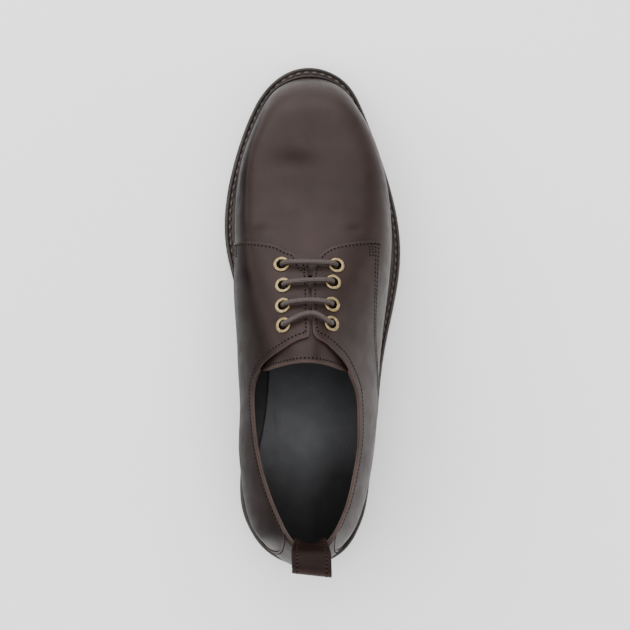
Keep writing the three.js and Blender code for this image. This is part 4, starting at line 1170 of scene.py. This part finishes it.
UPWARD = np.array([0, 0, 1.0])
add(leather_sheet("insole", insole_grid(150, 50, 3.0, 0.02, False), UPWARD, SHEET["insole"],
                  [lining_black, lining_black, cut_edge], bevel=0), "insole")
SOCK_FOLDS = [
    # x, y, long, wide, heading, rise
    (66, 21, 11, 1.6, 25, -0.5), (62, 19, 10, 1.6, 20, 0.35), (76, 20.5, 8, 1.4, 10, -0.4),
    (73, 18, 8, 1.5, 12, 0.25), (56, 22, 7, 1.4, 30, -0.3), (98, 5, 18, 6, 70, 0.3),
    (45, -3, 14, 6, 80, -0.25),
]
sock_points = insole_grid(170, 90, 4.6, 0.05, True)
for x, y, long, wide, heading, rise in SOCK_FOLDS:
    angle = np.radians(heading)
    dx, dy = sock_points[..., 0] - x, sock_points[..., 1] - y
    u = (dx * np.cos(angle) + dy * np.sin(angle)) / long
    v = (dy * np.cos(angle) - dx * np.sin(angle)) / wide
    sock_points[..., 2] += rise * np.exp(-u * u - v * v)
# Painted shadow on the sock: darker towards the heel and towards the outer side, where the collar shades it
shade = smooth((78 - sock_points[..., 0]) / 55) * 0.8 + 0.35 * smooth((4 - sock_points[..., 1]) / 20)
add(leather_sheet("sock", sock_points, UPWARD, SHEET["sock"], [sock_grey] * 3, bevel=0.3,
                  painted_shade=np.clip(shade, 0, 0.9)), "insole")


# Eyelets, lace, pull loop

def eyelet_places():
    places = []
    for medial_at, medial, lateral_at, lateral, _ in EYELETS:
        for side, at, off in ((1, medial_at, medial), (-1, lateral_at, lateral)):
            turn = turn_at(at)
            phi = angle_over(turn, SLOT_CENTRE + side * off * FACING_SPREAD)
            places.append((last_point(turn, phi), last_normal(turn, phi)))
    return places


RING_SIZES = ("Ring Radius", "Roll Radius", "Flatness")


def ring_tree():
    """Rolled eyelet on every place, turned to its 'facing' vector."""
    tree, given = start_group("rolled eyelets", RING_SIZES)
    new = tree.nodes.new
    link = tree.links.new
    ring, roll = [new("GeometryNodeCurvePrimitiveCircle") for _ in range(2)]
    for circle, label, steps in ((ring, "Ring Radius", 48), (roll, "Roll Radius", 16)):
        circle.inputs["Resolution"].default_value = steps
        link(given.outputs[label], circle.inputs["Radius"])
    rolled = new("GeometryNodeCurveToMesh")
    link(ring.outputs["Curve"], rolled.inputs["Curve"])
    link(roll.outputs["Curve"], rolled.inputs["Profile Curve"])
    pressed = new("ShaderNodeCombineXYZ")
    pressed.inputs["X"].default_value = 1
    pressed.inputs["Y"].default_value = 1
    link(given.outputs["Flatness"], pressed.inputs["Z"])
    return set_on_places(tree, given, rolled.outputs["Mesh"], pressed.outputs["Vector"],
                         (("facing", "Z"),))


RING_RADIUS = 3.30
ROLL_RADIUS = 0.86
RING_FLATNESS = 0.72
BORE_SIZE = (6.0, 6.0, 0.3)
places = eyelet_places()
eyelet_nodes = [f"eyelet_{name}_{i}" for i in range(1, 5) for name in SIDES.values()]
facings = np.array([normal for _, normal in places])
centres = np.array([point for point, _ in places])
rings = mesh_piece("eyelets", centres + facings * (FACING_OUT + 0.40), [], [])
give_values(rings, "facing", "FLOAT_VECTOR", facings)
made_by(rings, ring_tree(), {"Ring Radius": RING_RADIUS * MM, "Roll Radius": ROLL_RADIUS * MM,
                             "Flatness": RING_FLATNESS, "Finish": antique})
add(rings, eyelet_nodes)
aheads = np.tile([1.0, 0.0, 0.0], (len(facings), 1))
# Near-black discs of painted shade in the eyelets' bores
bores = np.stack([centres + facings * (FACING_OUT + 0.06), aheads, facings], axis=1)
stitches("eyelet_bore_shades", [bores], 0.0, BORE_SIZE, painted_bore_shade, eyelet_nodes)


def tube(name, path, radius, material, sides=20):
    """Round cord along a path, with its length in centimetres and its turn as a UV map."""
    along = np.gradient(path, axis=0)
    along /= np.linalg.norm(along, axis=1, keepdims=True)
    run = lengths(path) / 10
    steps = len(path)
    up = np.cross(along[0], [0.3, 0.2, 1.0])
    angle = 2 * np.pi * np.arange(sides) / sides
    rings = []
    for i in range(steps):
        up = up - along[i] * np.dot(up, along[i])
        up /= np.linalg.norm(up)
        other = np.cross(along[i], up)
        rings.append(path[i] + radius * (np.cos(angle)[:, None] * up + np.sin(angle)[:, None] * other))
    count = steps * sides
    last = count - sides
    faces = grid_faces(steps, sides, wrap_columns=True)
    faces += [(count, (j + 1) % sides, j) for j in range(sides)]
    faces += [(count + 1, last + j, last + (j + 1) % sides) for j in range(sides)]
    uv = [(run[i + di], (j + dj) / sides) for i in range(steps - 1) for j in range(sides)
          for di, dj in ((0, 0), (0, 1), (1, 1), (1, 0))]
    uv += [(run[end], j / sides) for end in (0, -1) for j in range(sides) for _ in range(3)]
    piece = mesh_piece(name, np.concatenate([*rings, path[:1], path[-1:]]), faces, [material])
    layer = piece.data.uv_layers.new(name="cord")
    layer.data.foreach_set("uv", np.array(uv).ravel())
    return piece


def curve_through(points, count):
    """Smooth path through points."""
    points = np.asarray(points, dtype=float)
    step = np.linalg.norm(np.diff(points, axis=0), axis=1) ** 0.5
    knots = np.concatenate([[0], np.cumsum(step)])
    where = np.linspace(0, knots[-1], count)
    return np.stack([natural_spline(knots, points[:, k])(where) for k in range(3)], axis=1)


LACE_LIFT = FACING_OUT + SEAM + 0.8 + LACE / 2 + 0.25
# Lace on its way out of an eyelet: towards the other eyelet, and off the last
LACE_CLIMB = ((0.2, 0.6), (0.5, FACING_OUT + 0.3), (0.95, FACING_OUT + 1.7), (1.9, LACE_LIFT - 0.45),
              (3.3, LACE_LIFT))


def climb(end, other):
    point, normal = end
    inner = other[0] - point
    inner = inner - normal * np.dot(inner, normal)
    inner /= np.linalg.norm(inner)
    return [point + inner * run + normal * out for run, out in LACE_CLIMB]


for i, (medial_at, _, lateral_at, _, bow) in enumerate(EYELETS):
    ends = places[2 * i], places[2 * i + 1]
    turn = turn_at((medial_at + lateral_at) / 2 + bow * LACE / LAST_LENGTH)
    crest = surface(turn, angle_over(turn, SLOT_CENTRE), LACE_LIFT + 0.4)
    path = curve_through(climb(ends[0], ends[1]) + [crest] + climb(ends[1], ends[0])[::-1], 100)
    add(tube(f"lace_{i + 1}", path, LACE / 2, braid), f"lace_bar_{i + 1}")

LOOP_WIDTH = 20.0
LOOP_THICK = 1.6
LOOP_SKEW = 2.6
LOOP_WRAP = 6.2
LOOP_CENTRE = 3.0
LOOP_TUCK = 0.36
LOOP_PATH = np.array([
    # up, wall, slack, curl
    [0.740, 0.0, 0.060, 1.00], [0.790, 0.0, 0.080, 1.00], [0.835, 0.0, 0.120, 0.88],
    [0.870, 0.0, 0.075, 0.50], [0.905, 0.0, 0.010, 0.20], [0.945, 0.2, -0.010, 0.00],
    [0.980, 0.5, -0.130, 0.00], [1.000, 0.7, -0.250, 0.00], [0.980, 0.8, -0.345, 0.00],
    [0.930, 1.0, -0.235, 0.10], [0.870, 1.0, -0.170, 0.28], [0.790, 1.0, -0.061, 0.42],
    [0.710, 1.0, -0.031, 0.42], [0.640, 1.0, -0.022, 0.40],
])


def loop_grid(columns=40, rows=120):
    """Points midway through the strap, across its width at each row, and its outward normals."""
    base = TOPLINE[0, 1] * INSTEP_HEIGHT
    rest = SEAM + LOOP_THICK / 2
    z = LOOP_PATH[:, 0] * INSTEP_HEIGHT
    lean = (np.minimum(z, base) - BULGE_HEIGHT) ** 2 / (2 * BACK_CURVE)
    wall = LOOP_PATH[:, 1]
    x = lean + (1 - 2 * wall) * rest - wall * BACKSTAY_OUT + LOOP_PATH[:, 2] * LOOP_WIDTH
    path = curve_through(np.stack([x, LOOP_PATH[:, 3] * LOOP_WIDTH, z], axis=1), rows)
    tangent = np.gradient(path, axis=0) * [1, 0, 1]
    tangent /= np.linalg.norm(tangent, axis=1, keepdims=True)
    curl = path[:, 1] / LOOP_WIDTH
    width = LOOP_WIDTH * (1 - LOOP_TUCK * curl)
    bend = curl / (2 * LOOP_WRAP)
    skew = LOOP_SKEW * smooth((path[:, 2] - base) / (INSTEP_HEIGHT - base))
    y = width[:, None] * np.linspace(-0.5, 0.5, columns)[None, :]
    sideways = np.stack([2 * bend[:, None] * y, np.ones_like(y), np.zeros_like(y)], axis=-1)
    out = np.cross(sideways, tangent[:, None, :])
    out /= np.linalg.norm(out, axis=-1, keepdims=True)
    centre = np.stack([path[:, None, 0] + bend[:, None] * y * y + skew[:, None] * y / LOOP_WIDTH,
                       LOOP_CENTRE + y, np.repeat(path[:, 2:3], columns, axis=1)], axis=-1)
    return centre, out


centre, out = loop_grid()
face = centre + out * LOOP_THICK / 2
ridge = int(np.argmax(centre[:, 20, 2]))
behind = smooth((np.arange(len(face)) - ridge + 1) / 4)[:, None]
RIDGE_FROM = 88.0
SIDE_WEAR = 0.35
worn = 0.55 * behind * smooth((face[..., 2] - RIDGE_FROM) / 5.0)
for column in (0, 1, -2, -1):
    worn[:, column] = np.maximum(worn[:, column], SIDE_WEAR)
# Painted shade on the strap's inner leg, up to its ridge, where it runs down inside the collar
add(leather_sheet("pull_strap", face, out, LOOP_THICK, [calf, calf, cut_edge], bevel=0.3, worn=worn,
                  painted_shade=0.75 * (1 - behind)), "pull_loop")
lines = [(face[8:-3, column], out[8:-3, column], 2.2) for column in (5, -6)]
lines.append((face[-5, 6:-6], out[-5, 6:-6], 2.0))
sewn("strap", lines, "pull_loop")

# Floor, light and camera
floor_mesh = bpy.data.meshes.new("floor")
floor_mesh.from_pydata([(-4, -4, 0), (4, -4, 0), (4, 4, 0), (-4, 4, 0)], [], [(0, 1, 2, 3)])
floor_mesh.materials.append(shader("pale floor", (0.90, 0.90, 0.90), 0.95))
floor = bpy.data.objects.new("floor", floor_mesh)
bpy.context.scene.collection.objects.link(floor)


def soft_light(name, place, aim, size, power):
    lamp = bpy.data.lights.new(name, "AREA")
    lamp.shape = "RECTANGLE"
    lamp.size, lamp.size_y = size
    lamp.energy = power
    holder = bpy.data.objects.new(name, lamp)
    bpy.context.scene.collection.objects.link(holder)
    holder.location = place
    holder.rotation_euler = (Vector(aim) - Vector(place)).to_track_quat("-Z", "Y").to_euler()


LAMPS = {
    # place, aim, size, watts
    "overhead": ((0.2, 0.2, 1.8), (0.2, 0.2, 0), (4.0, 3.0), 112),
    "left bank": ((0.3, 1.9, 1.3), (0, 0, 0.03), (3.2, 0.9), 42),
    "right bank": ((-0.1, -2.1, 0.7), (0, 0, 0.03), (2.8, 0.7), 26),
    "toe bank": ((2.0, 0.2, 0.9), (0, 0, 0.03), (2.4, 1.0), 48),
}
for name, lamp_values in LAMPS.items():
    soft_light(name, *lamp_values)

# Room light that falls off towards the inner side
world = bpy.data.worlds.new("room")
world.use_nodes = True
nodes = world.node_tree.nodes
link = world.node_tree.links.new
way = nodes.new("ShaderNodeTexCoord")
split = nodes.new("ShaderNodeSeparateXYZ")
link(way.outputs["Generated"], split.inputs["Vector"])
fall = nodes.new("ShaderNodeMapRange")
link(split.outputs["Y"], fall.inputs["Value"])
for label, value in (("From Min", 0.3), ("From Max", 0.9), ("To Min", 1.0), ("To Max", 0.3)):
    fall.inputs[label].default_value = value
link(fall.outputs["Result"], nodes["Background"].inputs["Strength"])
bpy.context.scene.world = world

CAMERA_LENS = 103.0
CAMERA_PLACE = (-0.0036, 0.0519, 1.0)
CAMERA_AIM = (0.0, 0.0, 0.03)
camera_data = bpy.data.cameras.new("camera")
camera_data.lens = CAMERA_LENS
camera = bpy.data.objects.new("camera", camera_data)
bpy.context.scene.collection.objects.link(camera)
camera.location = CAMERA_PLACE
forward = (Vector(CAMERA_AIM) - camera.location).normalized()
side_axis = forward.cross(Vector((1, 0, 0))).normalized()
up_axis = side_axis.cross(forward)
camera.rotation_euler = Matrix((side_axis, up_axis, -forward)).transposed().to_euler()
bpy.context.scene.camera = camera
